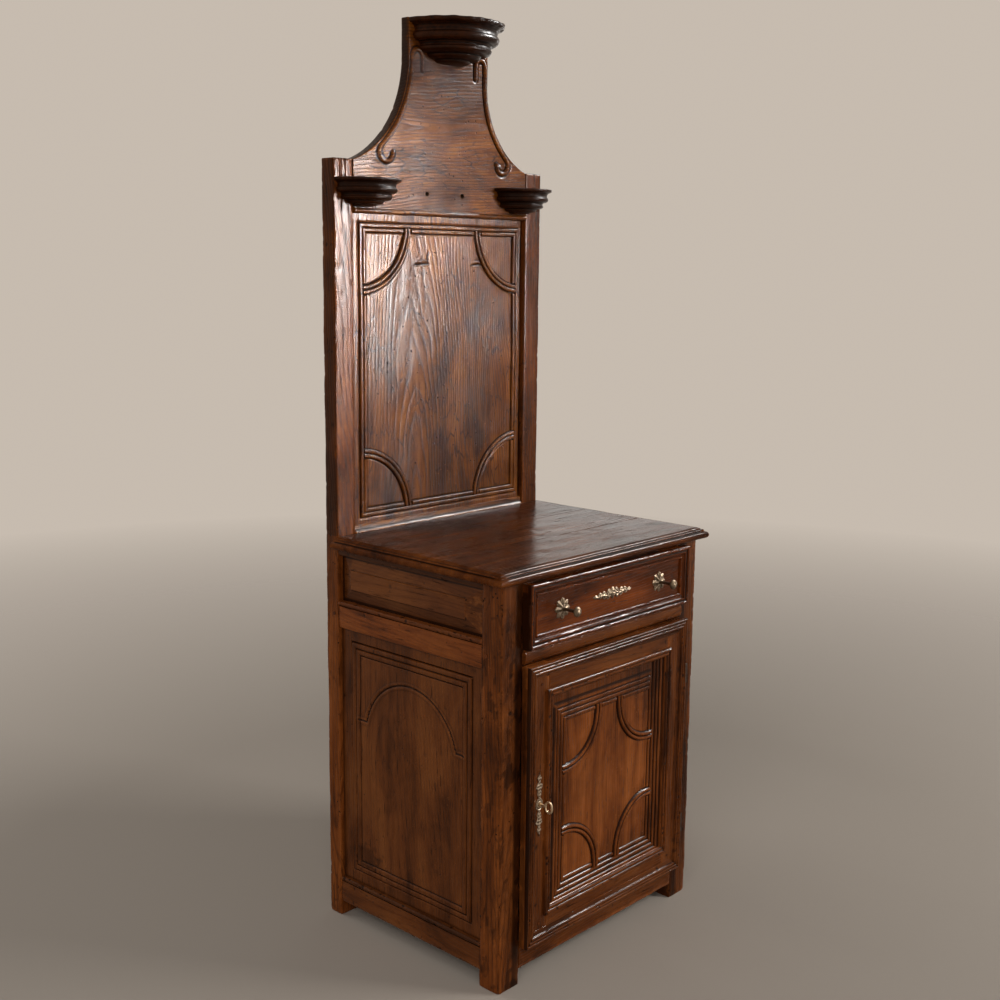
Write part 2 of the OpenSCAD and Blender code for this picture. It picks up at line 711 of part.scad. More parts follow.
// The carved line follows the hollow and curls inwards at both ends
low_angle = 50;
module carved_round() ridge(carve_w, carve_h);
module carved_line(side) {
    r = hollow(side) + carve_in;
    x = neck_edge(side) + hollow(side);
    z = hollow_z(side);
    line_x = x - r;
    high = max(z + 1, crest_top - carve_drop);
    translate([x, z, 0]) rotate([0, 0, 180]) rotate_extrude(angle = low_angle, $fn = 360)
        translate([r, 0]) carved_round();
    translate([x - (r + curl_low) * cos(low_angle), z - (r + curl_low) * sin(low_angle), 0])
        rotate([0, 0, 180]) rotate_extrude(angle = 180 + low_angle) translate([curl_low, 0]) carved_round();
    translate([line_x, z, 0]) rotate([-90, 0, 0]) linear_extrude(high - z)
        mirror([0, 1]) carved_round();
    translate([line_x - curl_high, high, 0]) rotate_extrude(angle = 180)
        translate([curl_high, 0]) carved_round();
    translate([line_x - 2 * curl_high, high, 0]) rotate([90, 0, 0]) linear_extrude(1.8 * curl_high)
        carved_round();
}
module crest_board() color(dark_oak) placed() difference() {
    union() {
        translate([0, stile_y, 0]) along_y(crest_t) crest_outline();
        crest_tenons();
        facing_front(stile_y) for (side = [-1, 1])
            mirror([side < 0 ? 1 : 0, 0, 0]) carved_line(side);
    }
    for (side = [-1, 1])
        rod_y(side * hole_pitch / 2, crest_low + hole_up, stile_y - 5, stile_y + crest_t + 1, hole_r);
}

// Half round corbels, turned in steps that narrow like the side of a bowl
module corbel(x, top, radius, height) translate([x, stile_y, top - height]) {
    bead = height / corbel_n / 2;
    rotate([0, 0, 180]) rotate_extrude(angle = 180, $fn = 96) for (i = [0 : corbel_n - 1]) {
        reach = radius * cos(72 * (corbel_n - 1 - i) / (corbel_n - 1));
        translate([0, 2 * bead * i]) square([reach - bead, height - 2 * bead * i]);
        translate([reach - bead, bead * (2 * i + 1)]) circle(bead);
    }
}
module corbel_left() color(deep_oak) placed()
    corbel(corbel_r - half, stile_top - corbel_drop, corbel_r, corbel_h);
module corbel_right() color(deep_oak) placed()
    corbel(half - corbel_r, stile_top - corbel_drop, corbel_r, corbel_h);
module corbel_top() color(deep_oak) placed()
    corbel(neck_shift, crest_top, top_corbel_r, top_corbel_h);

module joint_pegs() color(deep_oak) placed() for (side = [-1, 1]) sided(side) side_pegs();

// Drawer: a front board with a moulding planted round it, and a plain box behind
drawer_z = (drawer_low + drawer_top) / 2;
drawer_back_y = drawer_front_t - drawer_face;
side_low = drawer_open[0] + slide;
module drawer_board() box([front_play - post_in, -drawer_face, drawer_open[0] + front_play],
    [post_in - front_play, drawer_back_y, drawer_open[1] - front_play]);
module drawer_bottom_board(grow = 0)
    box([drawer_side_t / 2 - drawer_x - grow, drawer_back_y - 5 - grow, side_low + drawer_bottom_z - grow],
        [drawer_x - drawer_side_t / 2 + grow, drawer_back_y + drawer_box_d - drawer_side_t / 2 + grow,
            side_low + drawer_bottom_z + drawer_bottom_t + grow]);
module drawer_front() color(red_oak) placed() difference() {
    drawer_board();
    drawer_bottom_board(fit);
    for (way = [-1, 1]) rod_y(way * knob_x, drawer_z, -drawer_face - 1, drawer_back_y - 4, shank_r + turn);
}
// Outer bead, step, hollow and inner bead
outer_bead = 3.5;
inner_bead = 3.2;
quirk = 0.5;
moulding_base = 2;
module drawer_section() {
    proud = drawer_proud - drawer_face;
    square([2 * outer_bead + quirk, proud - outer_bead]);
    translate([outer_bead + quirk, proud - outer_bead]) circle(outer_bead);
    difference() {
        square([drawer_frame_w - 2 * inner_bead, proud - outer_bead + quirk]);
        translate([drawer_frame_w - 1.6 * inner_bead, proud]) circle(proud - moulding_base);
    }
    square([drawer_frame_w - inner_bead, moulding_base]);
    translate([drawer_frame_w - inner_bead, inner_bead / 2]) circle(inner_bead);
}
module drawer_moulding() color(red_oak) placed() {
    facing_front(-drawer_face) translate([0, drawer_z, 0]) intersection() {
        mitred_frame(2 * lip_x, drawer_h, drawer_frame_w) drawer_section();
        translate([-lip_x, -drawer_h / 2, 0]) cube([2 * lip_x, drawer_h, drawer_proud]);
    }
    difference() {
        box([-lip_x, -drawer_face, drawer_low], [lip_x, -lip_gap, drawer_top]);
        drawer_board();
    }
}
module drawer_side(side) color(raw_oak) placed() sided(side) difference() {
    box([drawer_x - drawer_side_t, drawer_back_y, side_low],
        [drawer_x, drawer_back_y + drawer_box_d, side_low + drawer_side_h]);
    drawer_bottom_board(fit);
}
module drawer_side_left() drawer_side(-1);
module drawer_side_right() drawer_side(1);
module drawer_back() color(raw_oak) placed() difference() {
    box([drawer_side_t - drawer_x, drawer_back_y + drawer_box_d - drawer_side_t, side_low],
        [drawer_x - drawer_side_t, drawer_back_y + drawer_box_d, side_low + drawer_side_h - 6]);
    drawer_bottom_board(fit);
}
module drawer_bottom() color(raw_oak) placed() drawer_bottom_board();

// Leaf plates behind the knobs, knobs with mushroom heads, and the scroll mount
module knob_plates() color(old_brass) placed() for (way = [-1, 1])
    facing_front(-drawer_face) translate([way * knob_x, drawer_z, 0]) difference() {
        linear_extrude(plate_t) {
            circle(plate_r * 0.6);
            for (leaf = [0 : 7]) rotate(45 * leaf) translate([plate_r - 5, 0]) circle(5);
        }
        translate([0, 0, -1]) cylinder(r = shank_r + turn, h = plate_t + 2);
    }
module knobs() color(old_iron) placed() for (way = [-1, 1]) {
    rod_y(way * knob_x, drawer_z, -drawer_face - knob_out + 1, drawer_back_y - 5, shank_r);
    rod_y(way * knob_x, drawer_z, -drawer_face - plate_t - 2.5, -drawer_face - plate_t, 2 * shank_r);
    translate([way * knob_x, -drawer_face - knob_out + knob_t, drawer_z]) rotate([90, 0, 0])
        rotate_extrude() intersection() {
            translate([0, knob_t - knob_r * 1.5]) circle(knob_r * 1.5);
            square([knob_r, knob_t]);
        }
}
module drawer_cartouche() color(old_brass) placed() facing_front(-drawer_face)
    translate([0, drawer_z + 4, 0]) linear_extrude(plate_t) {
        circle(0.36 * cartouche_h);
        for (way = [-1, 1]) mirror([way < 0 ? 1 : 0, 0]) {
            translate([0.3 * cartouche_h, -1.5]) square([0.4 * cartouche_w - 0.3 * cartouche_h, 3]);
            for (leaf = [1 : 4]) let (size = cartouche_h * (0.38 - 0.055 * leaf))
                translate([0.105 * cartouche_w * leaf, (leaf % 2 == 0 ? 0.14 : -0.14) * cartouche_h])
                    circle(size);
            translate([cartouche_w / 2 - 4, 0]) circle(4);
        }
    }

// Door frame: stiles and rails with tenons, round a panel in a groove
door_back = -lip_gap;
door_face = door_back - door_t;
frame_in = lip_x - door_frame_w;
door_mid_y = door_back - door_t / 2;
panel_z = [door_low + door_frame_w, door_top - door_frame_w];
module door_tongue(grow = 0)
    box([fit - frame_in - groove - grow, door_mid_y - 3 - grow, panel_z[0] - groove + fit - grow],
        [frame_in + groove - fit + grow, door_mid_y + 3 + grow, panel_z[1] + groove - fit + grow]);
module door_tenons(low, grow = 0) tenons_x(frame_in, door_mid_y, [low, low + door_frame_w],
    [shoulder, shoulder], grow);
module door_peg_rods(grow = 0) for (x = [door_peg_in - lip_x, lip_x - door_peg_in],
        z = [door_low + door_peg_in, door_top - door_peg_in])
    rod_y(x, z, door_face - peg_proud, door_back - 2, 0.75 * peg_r + grow);
key_x = key_in - lip_x;
key_way_y = [door_face - 2 * plate_t, door_back + lock_wall + slide];
module key_way() {
    rod_y(key_x, key_z, key_way_y[0], key_way_y[1], key_r + slide);
    box([key_x - bit_t / 2 - slide, key_way_y[0], key_z - bit_r - 1],
        [key_x + bit_t / 2 + slide, key_way_y[1], key_z]);
}
module door_stile(side) difference() {
    sided(side) box([frame_in, door_face, door_low], [lip_x, door_back, door_top]);
    door_tongue(fit);
    door_tenons(door_low, fit);
    door_tenons(panel_z[1], fit);
    door_peg_rods(turn);
    if (side < 0) intersection() {
        key_way();
        box([-half, door_face - 1, 0], [half, 0, table_h]);
    }
}
module door_rail(low) difference() {
    union() {
        box([-frame_in, door_face, low], [frame_in, door_back, low + door_frame_w]);
        door_tenons(low);
    }
    door_tongue(fit);
    door_peg_rods(turn);
}
module door_stile_left() color(red_oak) placed() door_stile(-1);
module door_stile_right() color(dark_oak) placed() door_stile(1);
module door_rail_top() color(red_oak) placed() door_rail(panel_z[1]);
module door_rail_bottom() color(red_oak) placed() door_rail(door_low);
module door_pegs() color(deep_oak) placed() door_peg_rods();

// Mouldings planted on the door frame: three reeds with a hollow inside them, and the
// raised moulding that laps over the edge of the panel
bolection_base = 3;
high_bead = 4;
low_bead = 3.2;
module on_door(y) facing_front(y) translate([0, (door_low + door_top) / 2, 0]) children();
module border_section() {
    reeds(3, reed_w, reed_h);
    difference() {
        square([reed_w + cove_w, reed_h - bolection_base]);
        translate([reed_w + cove_w, reed_h - bolection_base + quirk]) circle(cove_w - 2 * quirk);
        translate([reed_w + cove_w - quirk, quirk]) square(reed_h);
    }
}
module door_border() color(red_oak) placed()
    on_door(door_face) mitred_frame(2 * lip_x, door_top - door_low, reed_w + cove_w) border_section();
module bolection_section() {
    square([bolection_w, bolection_base]);
    square([high_bead + quirk, bolection_h - high_bead]);
    translate([high_bead + quirk, bolection_h - high_bead]) circle(high_bead);
    translate([2 * high_bead + low_bead + quirk, bolection_base]) circle(low_bead);
}
module door_moulding() color(red_oak) placed() on_door(door_face) intersection() {
    mitred_frame(2 * (lip_x - bolection_in), door_top - door_low - 2 * bolection_in, bolection_w)
        bolection_section();
    translate([-half, -table_h, 0]) cube([case_w, 2 * table_h, bolection_h]);
}

// The door panel steps down to a flat field, whose corners are cut off by quarter arcs
field_z = [door_low + field_bottom, door_top - field_top];
module door_panel() color(red_oak) placed() {
    face = door_face + door_panel_set;
    door_tongue();
    difference() {
        box([fit - frame_in, face, panel_z[0] + fit], [frame_in - fit, face + door_panel_t, panel_z[1] - fit]);
        for (i = [0 : 2]) box([-field_x - i * step_w, face - 1, field_z[0] - i * step_w],
            [field_x + i * step_w, face + (3 - i) * step_d, field_z[1] + i * step_w]);
    }
    facing_front(face + 3 * step_d) translate([0, (field_z[0] + field_z[1]) / 2, 0])
        quarter_arcs(2 * field_x, field_z[1] - field_z[0], door_arc_r, door_arc_w, door_arc_h, -2);
}

// The door plate: a pointed blade with a round for the keyhole and two nails
module escutcheon_outline() {
    blade = (pow(escutcheon_h / 2, 2) + pow(escutcheon_w / 2, 2)) / escutcheon_w;
    translate([key_x, key_z]) {
        intersection_for (way = [-1, 1]) translate([way * (blade - escutcheon_w / 2), 0])
            circle(blade, $fn = 720);
        circle(keyhole_r);
    }
}
module escutcheon() color(old_iron) placed() difference() {
    union() {
        facing_front(door_face) linear_extrude(plate_t) escutcheon_outline();
        for (way = [-1, 1]) rod_y(key_x, key_z + way * escutcheon_h / 4, door_face - plate_t - 1,
            door_face - plate_t / 2, escutcheon_w / 6);
    }
    key_way();
}

// Lock: an iron case inside the door, with its cover, the bolt and the key
lock_right = keeper_l + 2 + lock_w - post_in;
lock_left = lock_right - lock_w;
lock_back = door_back + lock_d;
bolt_y = lock_back - lock_wall - slide - bolt_t;
bolt_z = key_z + 8;
module bolt_block(grow = 0) box([lock_left + 0.2 - grow, bolt_y - grow, bolt_z - bolt_h / 2 - grow],
    [lock_left + 0.2 + bolt_l + grow, bolt_y + bolt_t + grow, bolt_z + bolt_h / 2 + grow]);
module lock_case() color(old_iron) placed() difference() {
    box([lock_left, door_back, key_z - lock_h / 2], [lock_right, lock_back - lock_wall, key_z + lock_h / 2]);
    box([lock_left + lock_wall, door_back + lock_wall, key_z - lock_h / 2 + lock_wall],
        [lock_right - lock_wall, lock_back, key_z + lock_h / 2 - lock_wall]);
    bolt_block(0.25);
    key_way();
}
module lock_cover() color(old_iron) placed()
    box([lock_left, lock_back - lock_wall, key_z - lock_h / 2], [lock_right, lock_back, key_z + lock_h / 2]);
module lock_bolt() color(old_iron) placed() bolt_block();
module lock_keeper() color(old_iron) placed() difference() {
    box([-post_in, bolt_y - 1 - keeper_t, bolt_z - bolt_h / 2 - 1 - keeper_t],
        [keeper_l - post_in, bolt_y + bolt_t + 1 + keeper_t, bolt_z + bolt_h / 2 + 1 + keeper_t]);
    box([-half, bolt_y - 1, bolt_z - bolt_h / 2 - 1], [0, bolt_y + bolt_t + 1, bolt_z + bolt_h / 2 + 1]);
}
key_end = bolt_y - 0.6;
bow_y = door_face - plate_t - bow_out;
module key() color(old_iron) placed() {
    rod_y(key_x, key_z, bow_y + bow_w / 2 - bow_wire, key_end, key_r);
    rod_y(key_x, key_z, door_face - plate_t - 5, door_face - plate_t - 2, key_r + 1.5);
    box([key_x - bit_t / 2, key_end - 8, key_z - bit_r], [key_x + bit_t / 2, key_end, key_z]);
    bend = bow_w / 2 - bow_wire;
    straight = (bow_h - bow_w) / 2;
    translate([key_x, bow_y, key_z]) rotate([0, 90, 0]) rotate([0, 0, 90]) for (end = [0, 180]) {
        rotate([0, 0, end]) translate([0, straight, 0]) rotate_extrude(angle = 180)
            translate([bend, 0]) circle(bow_wire, $fn = 24);
        rotate([0, 0, end]) translate([bend, -straight, 0]) rotate([-90, 0, 0])
            cylinder(r = bow_wire, h = 2 * straight, $fn = 24);
    }
}

// Hinges: the lower knuckle and the pin belong to the post, the upper knuckle to the door
hinge_x = lip_x + hinge_off;
hinge_low = [door_low + hinge_in, door_top - hinge_in - hinge_h];
module hinge_post_leaves() color(old_iron) placed() for (z = hinge_low) translate([0, 0, z]) {
    translate([hinge_x, -hinge_off, 0]) {
        cylinder(r = knuckle_r, h = hinge_h / 2 - slide / 2);
        cylinder(r = pin_r, h = hinge_h + 3);
        translate([0, 0, hinge_h + knuckle_r - 1]) sphere(knuckle_r - 0.5);
        translate([0, 0, -2]) sphere(knuckle_r - 0.5);
    }
    box([hinge_x - 2, -hinge_off, 0], [hinge_x + 2, -leaf_t / 2, hinge_h / 2 - slide / 2]);
    box([hinge_x - 2, -leaf_t, 0], [hinge_x + leaf_w, 0, hinge_h / 2 - slide / 2]);
}
module hinge_door_leaves() color(old_iron) placed() for (z = hinge_low)
    translate([0, 0, z + hinge_h / 2 + slide / 2]) difference() {
        union() {
            translate([hinge_x, -hinge_off, 0]) cylinder(r = knuckle_r, h = hinge_h / 2 - slide);
            box([lip_x, door_face, 0], [lip_x + leaf_t, door_back - 1, hinge_h / 2 - slide]);
            box([lip_x + leaf_t / 2, -hinge_off - 2, 0], [hinge_x, 2 - hinge_off, hinge_h / 2 - slide]);
        }
        translate([hinge_x, -hinge_off, -1]) cylinder(r = pin_r + turn, h = hinge_h);
    }

front_post_left();
front_post_right();
back_stile_left();
back_stile_right();
tabletop();
side_top_rail_left();
side_top_rail_right();
side_mid_rail_left();
side_mid_rail_right();
side_bottom_rail_left();
side_bottom_rail_right();
frieze_panel_left();
frieze_panel_right();
side_panel_left();
side_panel_right();
front_top_rail();
front_mid_rail();
front_bottom_rail();
back_top_rail();
back_mid_rail();
back_bottom_rail();
back_boards();
floor_board();
shelf();
shelf_bearers();
drawer_runners();
crest_board();
crest_bead();
upper_panel();
upper_bottom_rail();
corbel_left();
corbel_right();
corbel_top();
joint_pegs();
hinge_post_leaves();
lock_keeper();
drawer_front();
drawer_moulding();
drawer_side_left();
drawer_side_right();
drawer_back();
drawer_bottom();
knob_plates();
knobs();
drawer_cartouche();
door_stile_left();
door_stile_right();
door_rail_top();
door_rail_bottom();
door_border();
door_moulding();
door_panel();
door_pegs();
lock_case();
lock_cover();
escutcheon();
hinge_door_leaves();
key();
lock_bolt();
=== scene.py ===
"""A tall carved cabinet with a drawer, a door and a panelled backboard, dressed around its solids.

The wooden pieces are surfaces worked out with numpy in millimetres of the cabinet's own frame:
+Z up, the front faces -Y, and the origin lies on the floor under the middle. Every vertex
carries two attributes for the materials: "grain", the place along and across the grain, and
"ridge", which is positive on worn edges and negative in the bottoms of grooves. The materials
paint ridges lighter, as wear and partly as a painted highlight, and grooves darker, as dirt and
partly as painted shade; mark() also moves it to paint shade on shaded faces, in gaps and in holes.
"""

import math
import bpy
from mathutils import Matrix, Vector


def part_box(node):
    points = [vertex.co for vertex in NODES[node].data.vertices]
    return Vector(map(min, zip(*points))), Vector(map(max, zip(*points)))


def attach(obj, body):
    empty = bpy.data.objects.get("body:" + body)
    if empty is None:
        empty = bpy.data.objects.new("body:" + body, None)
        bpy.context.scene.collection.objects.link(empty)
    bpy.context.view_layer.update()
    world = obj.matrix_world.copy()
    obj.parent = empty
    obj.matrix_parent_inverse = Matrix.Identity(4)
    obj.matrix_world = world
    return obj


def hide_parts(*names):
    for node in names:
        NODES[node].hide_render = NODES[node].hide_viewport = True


bl_info = {
    "name": "Lavabo Cabinet",
    "version": (1, 0, 0),
    "blender": (4, 5, 0),
    "location": "View3D > Sidebar > Cabinet",
    "description": "Dresses a packed cabinet in worn, waxed timber with old metal mounts",
    "category": "Object",
}

import bpy
import numpy as np
from bpy.props import FloatProperty, FloatVectorProperty, PointerProperty
from mathutils import Matrix, Vector

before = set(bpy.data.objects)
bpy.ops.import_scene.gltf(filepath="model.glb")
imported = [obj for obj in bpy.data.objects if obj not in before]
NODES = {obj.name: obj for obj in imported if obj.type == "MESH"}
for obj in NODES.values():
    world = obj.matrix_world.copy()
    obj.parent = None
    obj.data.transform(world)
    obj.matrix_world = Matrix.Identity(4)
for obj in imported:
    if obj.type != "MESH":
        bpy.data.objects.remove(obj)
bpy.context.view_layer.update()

MM = 0.001
X, Y, Z = 0, 1, 2
LEFT, RIGHT = -1, 1

SHARP = math.radians(50)  # edges that turn further than this are shaded sharp
ARCH_Z = 440  # height of the centre of the arch on the side panels


# Sizes and finishes


class CabinetForm(bpy.types.PropertyGroup):
    """How far age has softened the timber."""

    worn_edge: FloatProperty(
        name="Worn edge", description="Depth to which edges are rubbed away",
        default=0.0006, min=0.0, max=0.004, subtype="DISTANCE")
    nick: FloatProperty(
        name="Nick depth", description="Depth of the deepest nicks along the edges",
        default=0.0022, min=0.0, max=0.008, subtype="DISTANCE")
    wave: FloatProperty(
        name="Unevenness", description="How far hand planed faces swell and sink",
        default=0.0003, min=0.0, max=0.002, subtype="DISTANCE")
    dent: FloatProperty(
        name="Dent depth", description="Depth of the knocks on flat faces",
        default=0.0007, min=0.0, max=0.003, subtype="DISTANCE")


class CabinetFinish(bpy.types.PropertyGroup):
    """Colours of the timber and the metal."""

    shade: FloatVectorProperty(
        name="Shade", description="Darkest colour of the waxed timber", subtype="COLOR",
        default=(0.036, 0.0098, 0.0028), min=0.0, max=1.0)
    body: FloatVectorProperty(
        name="Body", description="Main colour of the waxed timber", subtype="COLOR",
        default=(0.165, 0.0395, 0.0070), min=0.0, max=1.0)
    # Light is also mixed onto rubbed ridges and the frieze panels' front bevels as a painted
    # highlight.
    light: FloatVectorProperty(
        name="Light", description="Colour of the worn and rubbed timber", subtype="COLOR",
        default=(0.31, 0.088, 0.018), min=0.0, max=1.0)
    raw: FloatVectorProperty(
        name="Raw timber", description="Colour of the unfinished boards inside", subtype="COLOR",
        default=(0.20, 0.125, 0.07), min=0.0, max=1.0)
    mount: FloatVectorProperty(
        name="Mounts", description="Colour of the rubbed metal mounts", subtype="COLOR",
        default=(0.40, 0.34, 0.25), min=0.0, max=1.0)
    iron: FloatVectorProperty(
        name="Iron", description="Colour of the dark ironwork", subtype="COLOR",
        default=(0.11, 0.09, 0.075), min=0.0, max=1.0)
    floor: FloatVectorProperty(
        name="Floor", description="Colour of the plain floor and background", subtype="COLOR",
        default=(0.57, 0.50, 0.43), min=0.0, max=1.0)


def form(name):
    """One size of the form, in millimetres."""
    return getattr(bpy.context.scene.cabinet_form, name) / MM


# Numpy shapes


def span(*nodes):
    """Lowest and highest corner of some CAD nodes together, in millimetres."""
    corners = np.array([[list(corner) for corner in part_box(node)] for node in nodes]) / MM
    return corners[:, 0].min(0), corners[:, 1].max(0)


def wander(points, size, seed):
    """Slow noise between about -1 and 1: the mean of eight sine waves along random directions,
    with wavelengths from 0.6 to 1.8 of size."""
    rng = np.random.default_rng(seed)
    along = rng.normal(size=(8, 3))
    along /= np.linalg.norm(along, axis=1, keepdims=True)
    along *= 2 * np.pi / (size * rng.uniform(0.6, 1.8, (8, 1)))
    phase = rng.uniform(0, 2 * np.pi, 8)
    return np.sin(points @ along.T + phase).mean(-1) * 2.2


def knocks(points, count, radius, seed, among=None):
    """Sum of smooth dips exp(-(d / r)^2) about points picked from the surface itself, or from
    the part of it that a mask marks."""
    rng = np.random.default_rng(seed)
    flat = points.reshape(-1, 3)
    choice = flat if among is None else flat[np.asarray(among).ravel()]
    if not len(choice):
        return np.zeros(points.shape[:-1])
    total = np.zeros(len(flat))
    for centre, size, depth in zip(choice[rng.integers(0, len(choice), count)],
                                   radius * rng.uniform(0.4, 1.5, count),
                                   rng.uniform(0.3, 1.0, count)):
        near = np.abs(flat - centre).max(1) < 3 * size
        total[near] += depth * np.exp(-((flat[near] - centre) ** 2).sum(1) / size**2)
    return total.reshape(points.shape[:-1])


def ticks(*runs):
    """Grid lines over runs of (start, end, step), each line once."""
    lines = [np.linspace(a, b, max(2, int(round(abs(b - a) / step)) + 1)) for a, b, step in runs]
    return np.unique(np.round(np.concatenate(lines), 4))


def moulded(s, count, width, height, quirk, crown=4):
    """Reeds of height * sqrt(1 - |t|^crown), with a narrow sunk line along both outer edges and
    between them. A crown of 2 is half round, and a higher one is flatter."""
    lines = np.stack([np.abs(s - k * width / count) for k in range(count + 1)])
    sunk = quirk * np.clip(1 - (lines.min(0) / 1.6) ** 2, 0, 1)
    t = np.mod(s / width * count, 1.0) * 2 - 1
    inside = (s > 0) & (s < width)
    return np.where(inside, height * np.sqrt(np.clip(1 - np.abs(t) ** crown, 0, 1)), 0.0) - sunk


def smooth(t):
    """0 below t = 0, 1 above t = 1, and 3t^2 - 2t^3 between."""
    t = np.clip(t, 0, 1)
    return t * t * (3 - 2 * t)


def groove(d, width):
    """A round bottomed groove: 1 at d = 0, falling to 0 at half the width."""
    return np.clip(1 - (2 * d / width) ** 2, 0, 1)


def arc_gap(x, z, centre, radius, low, high):
    """Distance from (x, z) to the arc of a circle between the angles low and high in degrees:
    to the circle where the angle lies between them, and else to the nearer end."""
    dx, dz = x - centre[0], z - centre[1]
    middle = math.radians((low + high) / 2)
    turn = np.abs(np.mod(np.arctan2(dz, dx) - middle + np.pi, 2 * np.pi) - np.pi)
    on_arc = turn <= math.radians((high - low) / 2)
    gap = np.abs(np.hypot(dx, dz) - radius)
    ends = [np.hypot(x - (centre[0] + radius * math.cos(end)),
                     z - (centre[1] + radius * math.sin(end)))
            for end in (math.radians(low), math.radians(high))]
    return np.where(on_arc, gap, np.minimum(*ends))


def line_gap(x, z, start, end):
    """Distance from (x, z) to a straight line between two points."""
    ax, az = end[0] - start[0], end[1] - start[1]
    t = np.clip(((x - start[0]) * ax + (z - start[1]) * az) / (ax * ax + az * az), 0, 1)
    return np.hypot(x - start[0] - t * ax, z - start[1] - t * az)


def frame_gap(u, v, u0, u1, v0, v1):
    """Distance from (u, v) inwards to the nearest side of a rectangle."""
    return np.minimum(np.minimum(u - u0, u1 - u), np.minimum(v - v0, v1 - v))


def in_plane(u, v, third=0):
    """Points of a plane grid, as places for noise."""
    return np.stack([u, v, u * 0 + third], -1)


def outermost(low, high):
    """Distance of a piece's outer side from the middle plane."""
    return max(abs(low[X]), abs(high[X]))


# Meshes


def grid_faces(rows, columns, closed=True):
    """Quads of a grid of vertices numbered row by row, with the columns closed into rings."""
    i = np.arange(rows - 1)[:, None]
    j = np.arange(columns if closed else columns - 1)[None, :]
    k = (j + 1) % columns
    quads = np.stack(np.broadcast_arrays(
        i * columns + j, i * columns + k, (i + 1) * columns + k, (i + 1) * columns + j), -1)
    return quads.reshape(-1, 4)


def make(name, points, quads, caps=(), grain=X, seed=0):
    """A closed mesh from points in millimetres, quads and flat many sided caps. Its faces are
    turned outwards by the sign of its volume. ridge is how far a vertex stands out from the
    mean of its neighbours along its normal, as a share of its distance to them."""
    points = np.asarray(points, float).reshape(-1, 3)
    sizes = np.concatenate([np.full(len(quads), 4), [len(c) for c in caps]]).astype(np.int32)
    corners = np.concatenate([np.asarray(quads).ravel(), *caps]).astype(np.int32)
    starts = np.concatenate([[0], np.cumsum(sizes)[:-1]]).astype(np.int32)
    p = points[np.asarray(quads)]
    volume = np.einsum("ij,ij->", p[:, 0], np.cross(p[:, 1], p[:, 2]))
    volume += np.einsum("ij,ij->", p[:, 0], np.cross(p[:, 2], p[:, 3]))
    for cap in caps:
        p = points[cap]
        volume += np.einsum("j,ij->", p[0], np.cross(p[1:-1], p[2:]))
    if volume < 0:
        parts = [corners[s:s + n][::-1] for s, n in zip(starts[len(quads):], sizes[len(quads):])]
        corners = np.concatenate([np.asarray(quads)[:, ::-1].ravel(), *parts]).astype(np.int32)
    mesh = bpy.data.meshes.new(name)
    mesh.vertices.add(len(points))
    mesh.vertices.foreach_set("co", (points * MM).astype(np.float32).ravel())
    mesh.loops.add(len(corners))
    mesh.loops.foreach_set("vertex_index", corners)
    mesh.polygons.add(len(sizes))
    mesh.polygons.foreach_set("loop_start", starts)
    mesh.update(calc_edges=True)
    mesh.validate()
    mesh.polygons.foreach_set("use_smooth", np.ones(len(mesh.polygons), bool))
    mesh.set_sharp_from_angle(angle=SHARP)
    write_ridge(mesh, points)
    if np.ndim(grain) == 0:
        order = [grain] + [axis for axis in (X, Y, Z) if axis != grain]
        grain = points[:, order]
    grain = np.asarray(grain, float).reshape(-1, 3)
    rng = np.random.default_rng(seed + 17)
    heart = rng.uniform((0, -60, 25), (900, 60, 90)) - grain.mean(0) * (0, 1, 1)
    place = mesh.attributes.new("grain", "FLOAT_VECTOR", "POINT")
    place.data.foreach_set("vector", ((grain + heart) * MM).astype(np.float32).ravel())
    item = bpy.data.objects.new(name, mesh)
    bpy.context.scene.collection.objects.link(item)
    return item


def tube(name, points, grain=X, seed=0):
    """A closed mesh over rows of closed rings, with a flat cap on the first and the last."""
    rows, columns = points.shape[:2]
    ring = np.arange(columns)
    caps = (ring[::-1], ring + (rows - 1) * columns)
    return make(name, points, grid_faces(rows, columns), caps, grain, seed)


def backed(name, front, y, seed):
    """A relief of open rows, each closed behind by a straight line at the depth y."""
    back = front[:, ::-1][:, [0, -1]].copy()
    back[..., 1] = y
    return tube(name, np.concatenate([front, back], 1), X, seed)


def write_ridge(mesh, points):
    """Stores the ridge attribute, averaged once with the neighbours' own values."""
    pairs = np.zeros(len(mesh.edges) * 2, np.int32)
    mesh.edges.foreach_get("vertices", pairs)
    pairs = pairs.reshape(-1, 2)
    normals = np.zeros(len(points) * 3, np.float32)
    mesh.vertex_normals.foreach_get("vector", normals)
    one = np.concatenate([pairs[:, 0], pairs[:, 1]])
    two = np.concatenate([pairs[:, 1], pairs[:, 0]])
    count = np.maximum(np.bincount(one, minlength=len(points)), 1)

    def mean(values):
        """Mean over the neighbours of each vertex."""
        return np.bincount(one, weights=values[two], minlength=len(points)) / count

    away = np.stack([points[:, k] - mean(points[:, k]) for k in range(3)], -1)
    reach = np.linalg.norm(points[one] - points[two], axis=1)
    reach = np.bincount(one, weights=reach, minlength=len(points)) / count + 1e-6
    ridge = (away * normals.reshape(-1, 3)).sum(-1) / reach
    ridge = 0.6 * ridge + 0.4 * mean(ridge)
    kept = mesh.attributes.new("ridge", "FLOAT", "POINT")
    kept.data.foreach_set("value", np.clip(ridge * 6, -1, 1).astype(np.float32))


